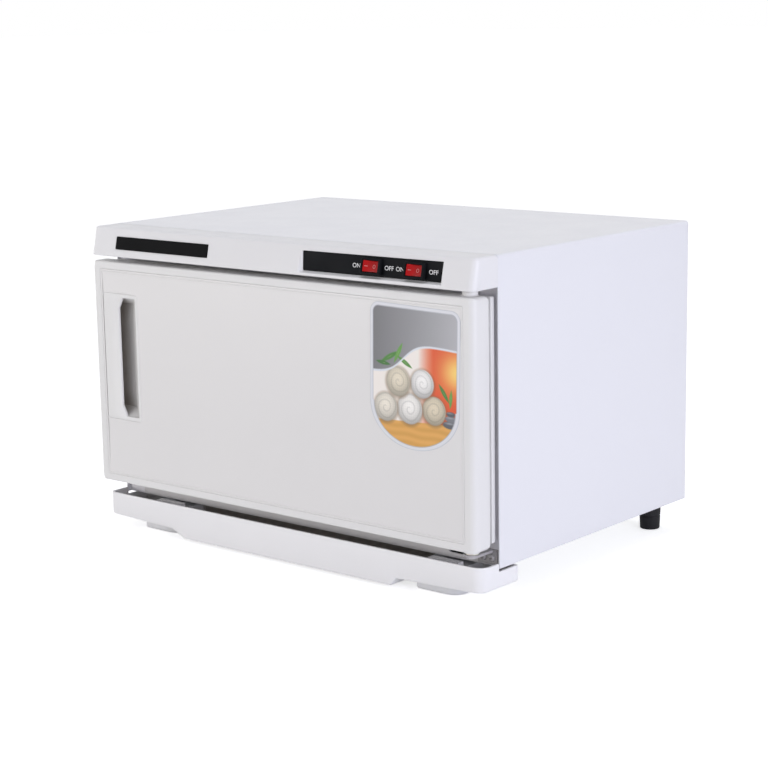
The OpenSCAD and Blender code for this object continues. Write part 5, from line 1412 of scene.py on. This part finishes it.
for name, side in (("front_foot_left", -1), ("front_foot_right", 1)):
    x0 = side * FRONT_FOOT_X
    lug = [plan_ring(z, *grown((x0 - 20, x0 + 20, 6, 45), -k), 3 - k)
           for z, k in ((-21, 0), (-7.4, 0), (-6.8, 0.3), (-6.6, 1.0))]
    block = [plan_ring(z, *grown((x0 - 21, x0 + 21, 27.5, 46), -k), 2 - k)
             for z, k in ((-21, 0), (0.5, 0), (0.85, 0.3), (1.0, 0.8))]
    piece(name + "_pad", together([foot_pad(side), loft(lug), loft(block)]), foot_grey,
          "cabinet", [name])

# %% [markdown]
# ## Badge plate, lip of the inner pan and hinge pegs
# The badge is the CAD plate, made a little taller so that it fills its window. The pan's lip
# shows as a second edge behind the door's shell, and two small pegs stand on the upper boss,
# seen in the gap under the fascia.

# %% Badge plate
BADGE_TALL, CAD_TALL = 11.9, 11
points, faces = merged_copy("name_badge")
x, depth, s = off_slope(points)
badge = on_slope(x, depth, MID_S + (s - MID_S) * BADGE_TALL / CAD_TALL)
piece("badge_plate", (badge, faces), black, "cabinet", ["name_badge"])

# %% Lip of the inner pan and pegs over the upper hinge
LIP = (-221.5, 221.5, 21.8, 228.0)
lip = [ring_at(y, *grown(LIP, -n), max(1.8 - n, 1.0))
       for n, y in ((7.8, -5.4), (0.7, -5.4), (0.2, -5.2), (0, -4.7), (0, -1.2), (0.2, -0.7),
                    (0.7, -0.5), (7.8, -0.5))]
piece("door_pan_lip", loft(lip, "loop"), shell_moulding, "door")
peg_profile = [(1.5, 233.0), (1.5, 234.5), (1.2, 234.75), (0.01, 234.75), (0.01, 233.0)]
pegs = [loft(turned(peg_profile, (x0, y0, 0), "z", 16), "loop")
        for x0, y0 in ((205.2, -17.2), (214.6, -19.6))]
piece("hinge_pegs", together(pegs), shell_moulding, "door")

# %% [markdown]
# ## Floor and light
# A pale floor carries the shadow. The world and the floor look white to the camera, to
# mirrors and through glass, while the object itself is lit at a plain level: soft light from
# all round, a wide lamp at the right that makes the cabinet's side the brightest face, and a
# weaker one over the front.

# %% Floor
FLOOR_SIZE, FLOOR_GLOW = 30.0, 0.64


def clear_rays(tree):
    """1 for rays from the camera, from a mirror or through glass, 0 for the light's own."""
    seen = add(tree, "LightPath")
    either = reckon(tree, "MAXIMUM", seen["Is Camera Ray"], seen["Is Glossy Ray"])
    return reckon(tree, "MAXIMUM", either, seen["Is Transmission Ray"])


floor_paint, tree, shader = blank("floor")
where = add(tree, "TexCoord")["Object"]
haze = add(tree, "TexNoise", {"Vector": where, "Scale": 3.0})[0]
glow = reckon(tree, "MULTIPLY", clear_rays(tree), FLOOR_GLOW)
feed(tree, shader, {"Base Color": mix(tree, haze, colour(238, 238, 239), colour(234, 234, 236)),
                    "Roughness": 0.9, "Emission Color": (1, 1, 1, 1), "Emission Strength": glow})
floor_mesh = bpy.data.meshes.new("floor")
floor_mesh.from_pydata([(x0 * FLOOR_SIZE, y0 * FLOOR_SIZE, 0)
                        for x0, y0 in ((-1, -1), (1, -1), (1, 1), (-1, 1))], [], [(0, 1, 2, 3)])
floor_mesh.materials.append(floor_paint)
floor = stand("floor", floor_mesh)
floor.location.z = -0.0002
print("floor of", 2 * FLOOR_SIZE, "metres")

# %% World
world = bpy.data.worlds.new("studio")
bpy.context.scene.world = world
world.use_nodes = True
tree = world.node_tree
tree.nodes.clear()
ambient = add(tree, "Background", {"Color": (0.97, 0.98, 1.0, 1.0), "Strength": 0.41})[0]
white = add(tree, "Background", {"Color": (1.0, 1.0, 1.0, 1.0), "Strength": 1.0})[0]
choice = add(tree, "MixShader", {0: clear_rays(tree), 1: ambient, 2: white})[0]
feed(tree, tree.nodes.new("ShaderNodeOutputWorld").inputs, {"Surface": choice})
print("world:", world.name)

# %% Lamps
def lamp(name, power, size, place, aim, tint=(1.0, 1.0, 1.0)):
    """Square area lamp whose -Z axis looks from its place to its aim."""
    light = bpy.data.lights.new(name, "AREA")
    light.energy, light.size, light.color = power, size, tint
    holder = stand(name, light)
    holder.location = place
    ray = np.asarray(aim, float) - np.asarray(place, float)
    holder.rotation_euler = Vector(ray).to_track_quat("-Z", "Y").to_euler()
    return holder


lamp("side_lamp", 27.5, 0.9, (2.42, -0.6, 0.5), (0.1, 0, 0.12), (0.86, 0.87, 1.0))
front = lamp("front_lamp", 14.8, 1.8, (-1.0, -2.2, 0.24), (0, -0.1, 0.12), (1.0, 0.975, 0.94))
lamp("left_fill", 6.0, 1.0, (-2.4, -0.6, 0.5), (-0.2, 0, 0.12))
front.data.shape, front.data.size_y = "RECTANGLE", 0.4
lamp("top_lamp", 15.3, 1.2, (0.1, 0, 2.3), (0, 0, 0.2), (0.9, 0.9, 1.0))
bpy.context.scene.view_settings.view_transform = "Standard"
print("lamps:", [light.name for light in bpy.data.lights])
